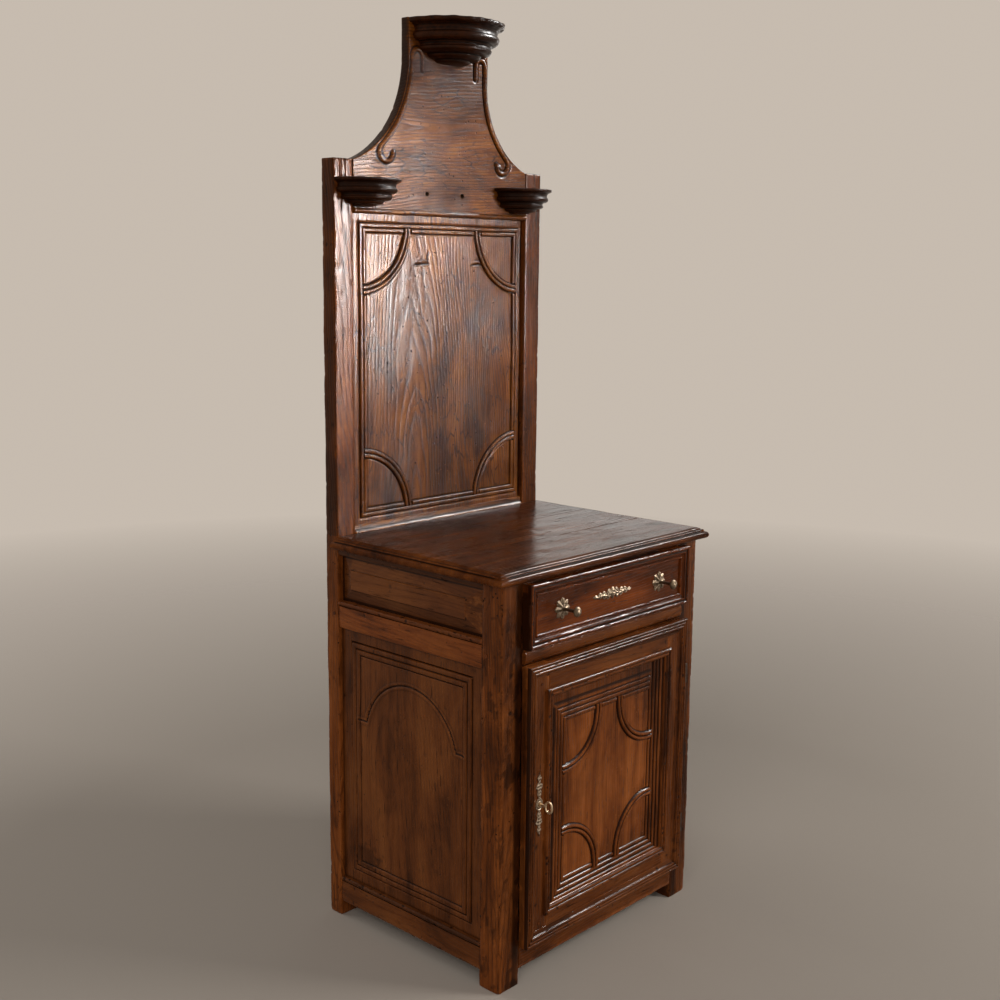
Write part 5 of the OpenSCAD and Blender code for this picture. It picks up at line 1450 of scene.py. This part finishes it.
class CABINET_OT_mounts(Maker):
    """Leaf plates, knobs and the scroll mount of the drawer."""

    bl_idname = "cabinet.mounts"
    bl_label = "Drawer mounts"

    def execute(self, context):
        low, high = span("knob_plates")
        face_y = span("drawer_front")[0][Y]
        z = (low[Z] + high[Z]) / 2
        reach = (high[Z] - low[Z]) / 2
        knob_low, _ = span("knobs")
        x = high[X] - reach
        for side, word in ((LEFT, "left"), (RIGHT, "right")):
            item = self.leaves(f"knob_plate_{word}", side * x, face_y, z, reach, 140 + side)
            finish(item, ironwork("mount_metal"), "mount_metal", "drawer", "knob_plates")
            item = self.knob(f"knob_{word}", side * x, face_y, z, face_y - knob_low[Y], 144 + side)
            finish(item, ironwork("knob_metal"), "knob_metal", "drawer", "knobs")
        low, high = span("drawer_cartouche")
        item = self.scroll("scroll_mount", low, high, face_y)
        finish(item, ironwork("mount_metal"), "mount_metal", "drawer", "drawer_cartouche")
        return {"FINISHED"}

    @staticmethod
    def leaves(name, x, y, z, reach, seed):
        """A plate of eight leaves: in polar form the edge is R (0.6 + 0.4 |cos 4a|^0.6), and the
        height falls from the middle with a rib along each leaf and small veins across it."""
        share = np.concatenate([[0.02], np.linspace(0.1, 1, 22)])
        turn = np.linspace(0, 2 * np.pi, 193)[:-1]
        r, a = np.meshgrid(share, turn, indexing="ij")
        lobe = np.abs(np.cos(4 * a + 0.25 * np.sin(a))) ** 0.6
        edge = reach * (0.60 + 0.40 * lobe + 0.03 * np.cos(24 * a))
        radius = r * edge
        rib = np.abs(np.cos(4 * a + 0.25 * np.sin(a)))
        curl = np.sin(np.pi * np.clip(r, 0, 1)) ** 0.7
        height = 0.7 + curl * (1.0 + 2.2 * rib**3 + 0.35 * np.cos(28 * r * np.pi) * rib)
        height += (2.2 * np.exp(-((radius / 6.5) ** 2))
                   + 0.7 * np.exp(-(((radius - 7.5) / 1.2) ** 2)))
        low = np.stack([x + radius * np.cos(a), y - height, z + radius * np.sin(a)], -1)
        last = low[-1:].copy()
        last[..., 1] = y + 0.3
        return tube(name, np.concatenate([low, last]), X, seed)

    @staticmethod
    def knob(name, x, y, z, top, seed):
        """A turned knob that ends at top: its profile (radius, distance from the drawer) carried
        round its axis."""
        profile = [(3.2, -8), (3.4, -1), (6.8, 0.5), (7.2, 2.2), (6.4, 3.8), (4.2, 4.8), (3.5, 7),
                   (3.2, 12), (3.2, 20), (3.6, top - 14), (4.6, top - 11), (4.8, top - 10),
                   (8.6, top - 8.8), (10.2, top - 7.4), (10.5, top - 6.2), (10.1, top - 4.6),
                   (8.8, top - 2.7), (6.6, top - 1.2), (4.0, top - 0.35), (1.6, top - 0.05),
                   (0.3, top)]
        profile = np.array(profile)
        fine = np.linspace(0, len(profile) - 1, 4 * len(profile))
        r = np.interp(fine, np.arange(len(profile)), profile[:, 0])
        d = np.interp(fine, np.arange(len(profile)), profile[:, 1])
        turn = np.linspace(0, 2 * np.pi, 49)[:-1]
        points = np.stack([x + r[:, None] * np.cos(turn),
                           np.broadcast_to(y - d[:, None], (len(r), 48)),
                           z + r[:, None] * np.sin(turn)], -1)
        points += 0.12 * wander(points, 8, seed)[..., None] * (r[:, None, None] > 1)
        return tube(name, points, X, seed)

    @staticmethod
    def scroll(name, low, high, y):
        """A scroll mount, alike on both sides: its half height at x is a row of lobes that get
        smaller outwards, and its relief is a rib along the middle with a leaf on every lobe."""
        middle, tall = (low[Z] + high[Z]) / 2, (high[Z] - low[Z]) / 2
        wide = (high[X] - low[X]) / 2
        x = np.linspace(-wide, wide, 241)
        t = np.abs(x) / wide
        lobes = np.abs(np.cos(4.5 * np.pi * t)) ** 0.7
        half = tall * np.clip((1 - t) ** 0.55 * (0.38 + 0.62 * lobes), 0.06, 1)
        lift = tall * 0.18 * np.sin(4.5 * np.pi * t) * (1 - t)
        across = np.linspace(-1, 1, 27)
        h, s = np.meshgrid(half, across, indexing="ij")
        z = middle + lift[:, None] + h * s
        swell = np.sqrt(np.clip(1 - s**2, 0, 1))
        veins = 0.5 + 0.5 * np.cos(2 * np.pi * (6.0 * t[:, None] + 1.4 * np.abs(s)))
        height = 0.4 + 1.5 * swell + 1.3 * veins * swell * (0.3 + 0.7 * lobes[:, None])
        height += (1.2 * np.exp(-((s / 0.16) ** 2))
                   + 1.6 * np.exp(-((x[:, None] / 9) ** 2 + s**2 * 1.5)))
        height *= np.clip((1 - t[:, None]) * 9, 0.15, 1)
        front = np.stack([np.broadcast_to(x[:, None], z.shape), y - height, z], -1)
        return backed(name, front, y + 0.3, 148)


class CABINET_OT_door(Maker):
    """The door: frame, planted mouldings and panel."""

    bl_idname = "cabinet.door"
    bl_label = "Door"

    def execute(self, context):
        left = span("door_stile_left")
        right = span("door_stile_right")
        inner = right[0][X]
        for k, word in enumerate(("left", "right")):
            low, high = span(f"door_stile_{word}")
            item = board(f"door_stile_{word}_worn", low, high, seed=150 + k, radius=1.0, end=0.8)
            mark(item, lambda x, y, z: np.abs(x) < outermost(low, high) - 3, -0.2)
            # Painted shade on the door's outer side faces.
            mark(item, lambda x, y, z: np.abs(x) > outermost(low, high) - 3, -0.3)
            timbered(item, "front_wood", "door", f"door_stile_{word}")
        for k, word in enumerate(("top", "bottom")):
            low, high = span(f"door_rail_{word}")
            low[X], high[X] = -inner, inner
            item = board(f"door_rail_{word}_worn", low, high, seed=152 + k, radius=0.8, end=0.4)
            mark(item, lambda x, y, z: z > 0, -0.19)
            timbered(item, "front_wood", "door", f"door_rail_{word}")
        face_y = left[0][Y]
        low, high = span("door_border")
        section = self.border_section()
        item = framed("door_border_worn", (0, (low[Z] + high[Z]) / 2), high[X],
                      (high[Z] - low[Z]) / 2, face_y, section, seed=156)
        mark(item, lambda x, y, z: z > 0, -0.2)
        # Painted shade on the border's outer side faces.
        mark(item, lambda x, y, z: np.abs(x) > high[X] - 2, -0.5)
        timbered(item, "front_wood", "door", "door_border")
        low, high = span("door_moulding")
        item = framed("door_moulding_worn", (0, (low[Z] + high[Z]) / 2), high[X],
                      (high[Z] - low[Z]) / 2, face_y, self.raised_section(), seed=157, back=-2.5)
        mark(item, lambda x, y, z: z > 0, -0.17)
        timbered(item, "front_wood", "door", "door_moulding")
        self.panel(face_y + 2)
        return {"FINISHED"}

    @staticmethod
    def border_section():
        """Three half round reeds 20 mm wide in all, 7.5 mm high, then a hollow 9 mm wide."""
        s = np.linspace(0, 20, 55)
        pitch, radius = 20 / 3, 3.40
        across = np.abs(np.mod(s, pitch) - pitch / 2)
        h = 7.5 - radius - 0.6 + np.sqrt(np.clip(radius**2 - across**2, 0, None)) * 1.18
        h[0] = 2.0
        hollow = np.linspace(20.2, 28.6, 14)
        dip = 5.0 - np.sqrt(np.clip(8.3**2 - (hollow - 29) ** 2, 0, None)) * 0.5
        return np.concatenate([np.stack([s, h], -1), np.stack([hollow, np.clip(dip, 0.4, 5)], -1),
                               [(29.0, 0.2)]])

    @staticmethod
    def raised_section():
        """A bead 8 mm high at the outer edge, a quirk, and a lower bead inside it."""
        outer = [(4.2 - 4.0 * math.cos(a), 4.0 + 4.0 * math.sin(a))
                 for a in np.radians(np.linspace(0, 160, 15))]
        inner = [(12.2 - 3.6 * math.cos(a), 3.0 + 3.4 * math.sin(a))
                 for a in np.radians(np.linspace(20, 160, 12))]
        foot = [(16.6, 3.4), (18.2, 2.6), (19.0, 0.0)]
        return np.array([(0.2, 0.0), (0.2, 2.0)] + outer + inner + foot)

    @staticmethod
    def panel(face_y):
        """The panel steps down in four shallow lines to a flat field. Its corners are cut off by
        quarter arcs with two reeds. At the top right the upright lines run on to the border."""
        _, high = span("door_panel")
        z0, z1 = span("door_rail_bottom")[1][Z], span("door_rail_top")[0][Z]
        bottom, top, wide, pitch = 195.0, 535.0, 140.0, 11
        middle, tall = (bottom + top) / 2, (top - bottom) / 2

        def face(u, v):
            points = in_plane(u, v)
            out_u, out_v = np.abs(u) - wide, np.abs(v - middle) - tall
            out = np.maximum(out_u, out_v)
            out = np.where((u > 0) & (v > middle) & (out_v > 0), out_u, out)
            out = np.where((u > 0) & (v > middle) & (out_u < 0) & (out_v > 0), out_v, out)
            step = 1.2 * np.clip(np.floor(out / pitch) + 1, 0, 4)
            along = np.mod(out, pitch)
            round_edge = 1.9 * np.sqrt(np.clip(1 - ((along - 3.6) / 3.6) ** 2, 0, 1))
            sunk = 1.5 * groove(np.abs(along - 9.2), 3.4)
            lines = np.where((out > 0) & (out < 4 * pitch), round_edge - sunk, 0)
            rho = np.hypot(wide - np.abs(u), tall - np.abs(v - middle))
            inside = (np.abs(u) < wide + pitch) & (np.abs(v - middle) < tall + pitch)
            band = 113 - rho
            taken = inside & (band > -1.6) & (band < 19.6)
            height = np.where(taken, moulded(band, 2, 18.0, 5.6, 1.6, 2), step + lines)
            plane = 0.3 * wander(points, 120, 161) + 0.15 * wander(points, 35, 162)
            return height - 3.6 + plane - 0.5 * knocks(points, 18, 6, 163)

        side = high[X] - 4
        us = ticks((-side, -wide - 36, 4), (-wide - 36, -wide + 4, 0.8),
                   (-wide + 4, -wide + 116, 1.6), (-wide + 116, wide - 116, 3),
                   (wide - 116, wide - 4, 1.6), (wide - 4, wide + 36, 0.8), (wide + 36, side, 4))
        vs = ticks((z0 - 3, bottom - 36, 4), (bottom - 36, bottom + 4, 0.8),
                   (bottom + 4, bottom + 116, 1.6), (bottom + 116, top - 116, 4),
                   (top - 116, top - 4, 1.6), (top - 4, top + 36, 0.8), (top + 36, z1 + 3, 4))
        item = slab("door_panel_worn", us, vs, face, [(0, 2), (0, 10.5), (-0.5, 11.5)],
                    front_face(face_y), grain=Z, seed=160)
        mark(item, lambda x, y, z: (np.abs(x) > wide - 1) | (np.abs(z - middle) > tall - 1)
               | (np.abs(np.hypot(wide - np.abs(x), tall - np.abs(z - middle)) - 104) < 11), -0.17)
        timbered(item, "front_wood", "door", "door_panel")


class CABINET_OT_inside(Maker):
    """Boards inside and behind the cabinet."""

    bl_idname = "cabinet.inside"
    bl_label = "Inside boards"

    def execute(self, context):
        low, high = span("back_boards")
        pitch = (high[X] - low[X]) / 3
        for k in range(3):
            a = (low[X] + k * pitch + 0.3, low[Y], low[Z])
            b = (low[X] + (k + 1) * pitch - 0.3, high[Y], high[Z])
            item = board(f"back_board_{k + 1}", a, b, axis=Z, seed=170 + k, radius=1.2)
            timbered(item, "inner_wood", "case", "back_boards")
        low, high = span("shelf")
        item = board("shelf_worn", low, high, seed=175, radius=1.5)
        timbered(item, "inner_wood", "case", "shelf")
        low, high = span("shelf_bearers")
        for side, word in ((LEFT, "left"), (RIGHT, "right")):
            inner = high[X] - (high[Z] - low[Z])
            ends = sorted((side * inner, side * high[X]))
            item = board(f"shelf_bearer_{word}", (ends[0], low[Y], low[Z]),
                         (ends[1], high[Y], high[Z]), seed=177 + side, radius=1.0)
            timbered(item, "inner_wood", "case", "shelf_bearers")
        for node_name, axis in (("floor_board", X), ("drawer_runners", Y)):
            dress_node(node_name, wood("inner_wood", axis))
        for node_name, axis in (("joint_pegs", X), ("door_pegs", X)):
            dress_node(node_name, wood("peg_wood", axis))
        return {"FINISHED"}


class CABINET_OT_ironwork(Maker):
    """Lock, key, door plate and hinges."""

    bl_idname = "cabinet.ironwork"
    bl_label = "Lock and hinges"

    def execute(self, context):
        for node_name in ("lock_case", "lock_cover", "lock_bolt", "lock_keeper",
                          "hinge_post_leaves", "hinge_door_leaves"):
            dress_node(node_name, ironwork("iron"))
        low, high = span("escutcheon")
        item = self.plate("key_plate", low, high, span("key"))
        mount = tuple(context.scene.cabinet_finish.mount)
        pale = metal("aged_plate", tinted(mount, 1.7, 1.65, 1.75), 0.40,
                     tinted(mount, 0.8, 0.7, 0.65), 0.8)
        finish(item, pale, "mount_metal", "door", "escutcheon")
        bright = metal("aged_key", tinted(mount, 2.1, 1.95, 1.8), 0.3,
                       tinted(mount, 1.2, 1.0, 0.85), 0.5)
        dress_node("key", bright)
        return {"FINISHED"}

    @staticmethod
    def plate(name, low, high, key):
        """A slender pierced looking plate: an oval about the key, then on each side a neck, a
        leaf and a point. The half width at a share t from the key to the tip is a sum of three
        bumps, and the relief has a rim about the oval and a rib along the leaves."""
        x, z = (low[X] + high[X]) / 2, (key[0][Z] + key[1][Z]) / 2
        wide = (high[X] - low[X]) / 2
        v = np.concatenate([np.linspace(low[Z], z - 14, 60), np.linspace(z - 13.5, z + 13.5, 36),
                            np.linspace(z + 14, high[Z], 60)])
        t = np.where(v > z, (v - z) / (high[Z] - z), (z - v) / (z - low[Z]))
        from_key = np.abs(v - z)
        half = wide * np.sqrt(np.clip(1 - (from_key / 13.0) ** 2, 0, 1))
        leaf = wide * (0.45 * np.exp(-((t - 0.34) / 0.09) ** 2)
                       + 0.85 * np.exp(-((t - 0.55) / 0.10) ** 2)
                       + 0.5 * np.exp(-((t - 0.80) / 0.08) ** 2) + 0.2 * (1 - t))
        half = np.maximum(np.maximum(half, leaf), 0.25)
        across = np.linspace(-1, 1, 17)
        h, s = np.meshgrid(half, across, indexing="ij")
        near = np.hypot(h * s, (v[:, None] - z))
        height = 0.9 + 1.0 * np.sqrt(np.clip(1 - s**2, 0, 1)) + 0.8 * np.exp(-((s / 0.22) ** 2))
        height += 0.5 * np.cos(0.9 * from_key[:, None] + 2.0 * np.abs(s)) * (from_key[:, None] > 13)
        ring = 0.8 + 1.5 * np.exp(-((near - 5.6) / 1.4) ** 2) - 0.4 * (near < 4.0)
        height = np.where(near < 10.5, ring, height)
        front = np.stack([x + h * s, low[Y] + 1.6 - height,
                          np.broadcast_to(v[:, None], s.shape)], -1)
        return backed(name, front, high[Y] + 0.2, 181)


class CABINET_OT_stage(Maker):
    """Camera, plain floor and soft lights."""

    lamp_colour = (1.0, 0.98, 0.96)
    # name, place, target, size, power, the rays it acts on and its spread in degrees
    lamps = (("window", (1.66, -2.5, 1.50), (-0.26, 0.25, 1.35), (0.75, 0.9), 5.3, "glossy", 19),
             ("glint", (2.6, -1.0, 3.1), (0.0, -0.2, 0.8), (0.7, 0.7), 230, "glossy", 180),
             ("high", (2.4, -3.3, 2.5), (0.0, 0.0, 0.8), (1.6, 1.6), 95, "diffuse", 180),
             ("fill", (-3.4, -2.2, 2.2), (0.0, 0.0, 0.8), (2.6, 2.6), 62, "diffuse", 180),
             ("wall", (4.9, 2.9, 1.85), (0.0, 0.0, 1.0), (2.4, 0.7), 10, "both", 180),
             ("rear", (-1.2, 3.4, 2.6), (0.0, 0.0, 0.9), (2.4, 2.4), 40, "diffuse", 180))

    bl_idname = "cabinet.stage"
    bl_label = "Stage"

    def execute(self, context):
        self.camera(context)
        colour = tuple(context.scene.cabinet_finish.floor)
        self.floor(colour)
        self.world(context, colour)
        for settings in self.lamps:
            self.lamp(*settings)
        return {"FINISHED"}

    @staticmethod
    def camera(context):
        """The camera of the view from the left front: turned 47 degrees, tilted 10 degrees down."""
        yaw, pitch, roll = math.radians(47.15), math.radians(-10.09), math.radians(0.58)
        ahead = Vector((math.sin(yaw) * math.cos(pitch), math.cos(yaw) * math.cos(pitch),
                        math.sin(pitch)))
        right = Vector((math.cos(yaw), -math.sin(yaw), 0))
        up = right.cross(ahead)
        across = right * math.cos(roll) + up * math.sin(roll)
        upright = up * math.cos(roll) - right * math.sin(roll)
        data = bpy.data.cameras.new("camera")
        data.sensor_width = 36
        data.lens = 47.56
        data.clip_end = 60
        item = bpy.data.objects.new("camera", data)
        place = Matrix((across, upright, -ahead)).transposed().to_4x4()
        place.translation = Vector((-2.1031, -1.8753, 1.4385))
        item.matrix_world = place
        context.scene.collection.objects.link(item)
        context.scene.camera = item

    @staticmethod
    def floor(colour):
        """A round floor that fades into the background towards its edge."""
        turn = np.linspace(0, 2 * np.pi, 97)[:-1]
        rings = np.array([0.5, 1500, 3000, 4500, 6500])
        points = np.stack([rings[:, None] * np.cos(turn), rings[:, None] * np.sin(turn),
                           np.zeros((5, 96)) - 0.05], -1)
        mesh = bpy.data.meshes.new("floor")
        quads = grid_faces(5, 96)
        mesh.from_pydata((points.reshape(-1, 3) * MM).tolist(), [], quads[:, ::-1].tolist())
        item = bpy.data.objects.new("floor", mesh)
        bpy.context.scene.collection.objects.link(item)
        material = bpy.data.materials.new("plain_floor")
        material.use_nodes = True
        tree = material.node_tree
        shader = tree.nodes["Principled BSDF"]
        shader.inputs["Base Color"].default_value = (*scaled(colour, 0.8), 1)
        shader.inputs["Specular IOR Level"].default_value = 0.0
        shader.inputs["Roughness"].default_value = 0.8
        place = node(tree, "ShaderNodeTexCoord").outputs["Object"]
        away = node(tree, "ShaderNodeVectorMath", {0: place}, operation="LENGTH").outputs["Value"]
        fade = ramp(tree, math_node(tree, "DIVIDE", away, 6.5), (0.2, 0.0), (0.75, 1.0))
        clear = node(tree, "ShaderNodeBsdfTransparent")
        both = node(tree, "ShaderNodeMixShader", {0: fade, 1: shader.outputs[0],
                                                  2: clear.outputs[0]})
        tree.links.new(both.outputs[0], tree.nodes["Material Output"].inputs["Surface"])
        mesh.materials.append(material)

    @staticmethod
    def world(context, colour):
        """Even light, with the pale background where the camera, a reflection or a clear
        material sees it."""
        world = bpy.data.worlds.new("studio")
        context.scene.world = world
        world.use_nodes = True
        tree = world.node_tree
        light = tree.nodes["Background"]
        light.inputs["Color"].default_value = (1.0, 0.96, 0.91, 1)
        light.inputs["Strength"].default_value = 0.13
        seen = node(tree, "ShaderNodeBackground", {"Color": (*colour, 1), "Strength": 1.0})
        path = node(tree, "ShaderNodeLightPath").outputs
        ray = math_node(tree, "MAXIMUM", path["Is Camera Ray"], path["Is Transmission Ray"])
        ray = math_node(tree, "MAXIMUM", ray, path["Is Glossy Ray"])
        both = node(tree, "ShaderNodeMixShader", {0: ray, 1: light.outputs[0], 2: seen.outputs[0]})
        tree.links.new(both.outputs[0], tree.nodes["World Output"].inputs["Surface"])

    @classmethod
    def lamp(cls, name, place, target, size, power, rays, spread):
        """A soft rectangular lamp aimed at a point, unseen by the camera. It can be kept to the
        highlights (glossy) or to the plain light (diffuse), and a grid can narrow its spread."""
        data = bpy.data.lights.new(name, "AREA")
        data.shape = "RECTANGLE"
        data.size, data.size_y = size
        data.energy, data.color = power, cls.lamp_colour
        data.spread = math.radians(spread)
        item = bpy.data.objects.new(name, data)
        item.visible_camera = False
        item.visible_glossy = rays != "diffuse"
        item.visible_diffuse = rays != "glossy"
        way = Vector(target) - Vector(place)
        item.location = place
        item.rotation_euler = way.to_track_quat("-Z", "Y").to_euler()
        bpy.context.scene.collection.objects.link(item)


OPERATORS = (
    CABINET_OT_stage, CABINET_OT_posts, CABINET_OT_rails, CABINET_OT_side_panels,
    CABINET_OT_tabletop, CABINET_OT_backboard, CABINET_OT_crest, CABINET_OT_corbels,
    CABINET_OT_drawer, CABINET_OT_mounts, CABINET_OT_door, CABINET_OT_inside,
    CABINET_OT_ironwork,
)


class CABINET_PT_panel(bpy.types.Panel):
    """Lists the cabinet's sizes, colours and operators."""

    bl_idname = "CABINET_PT_panel"
    bl_label = "Lavabo Cabinet"
    bl_space_type = "VIEW_3D"
    bl_region_type = "UI"
    bl_category = "Cabinet"

    def draw(self, context):
        for group in (context.scene.cabinet_form, context.scene.cabinet_finish):
            box = self.layout.box()
            for name in group.__annotations__:
                box.prop(group, name)
        for operator in OPERATORS:
            self.layout.operator(operator.bl_idname)


CLASSES = (CabinetForm, CabinetFinish, *OPERATORS, CABINET_PT_panel)


def register():
    """Registers the classes and hangs the settings on the scene."""
    for item in CLASSES:
        bpy.utils.register_class(item)
    bpy.types.Scene.cabinet_form = PointerProperty(type=CabinetForm)
    bpy.types.Scene.cabinet_finish = PointerProperty(type=CabinetFinish)


def unregister():
    """Takes them away again."""
    del bpy.types.Scene.cabinet_form
    del bpy.types.Scene.cabinet_finish
    for item in reversed(CLASSES):
        bpy.utils.unregister_class(item)


def main():
    register()
    scene = bpy.context.scene
    scene.view_settings.view_transform = "Standard"
    for operator in OPERATORS:
        group, name = operator.bl_idname.split(".")
        getattr(getattr(bpy.ops, group), name)()


if __name__ == "__main__":
    main()
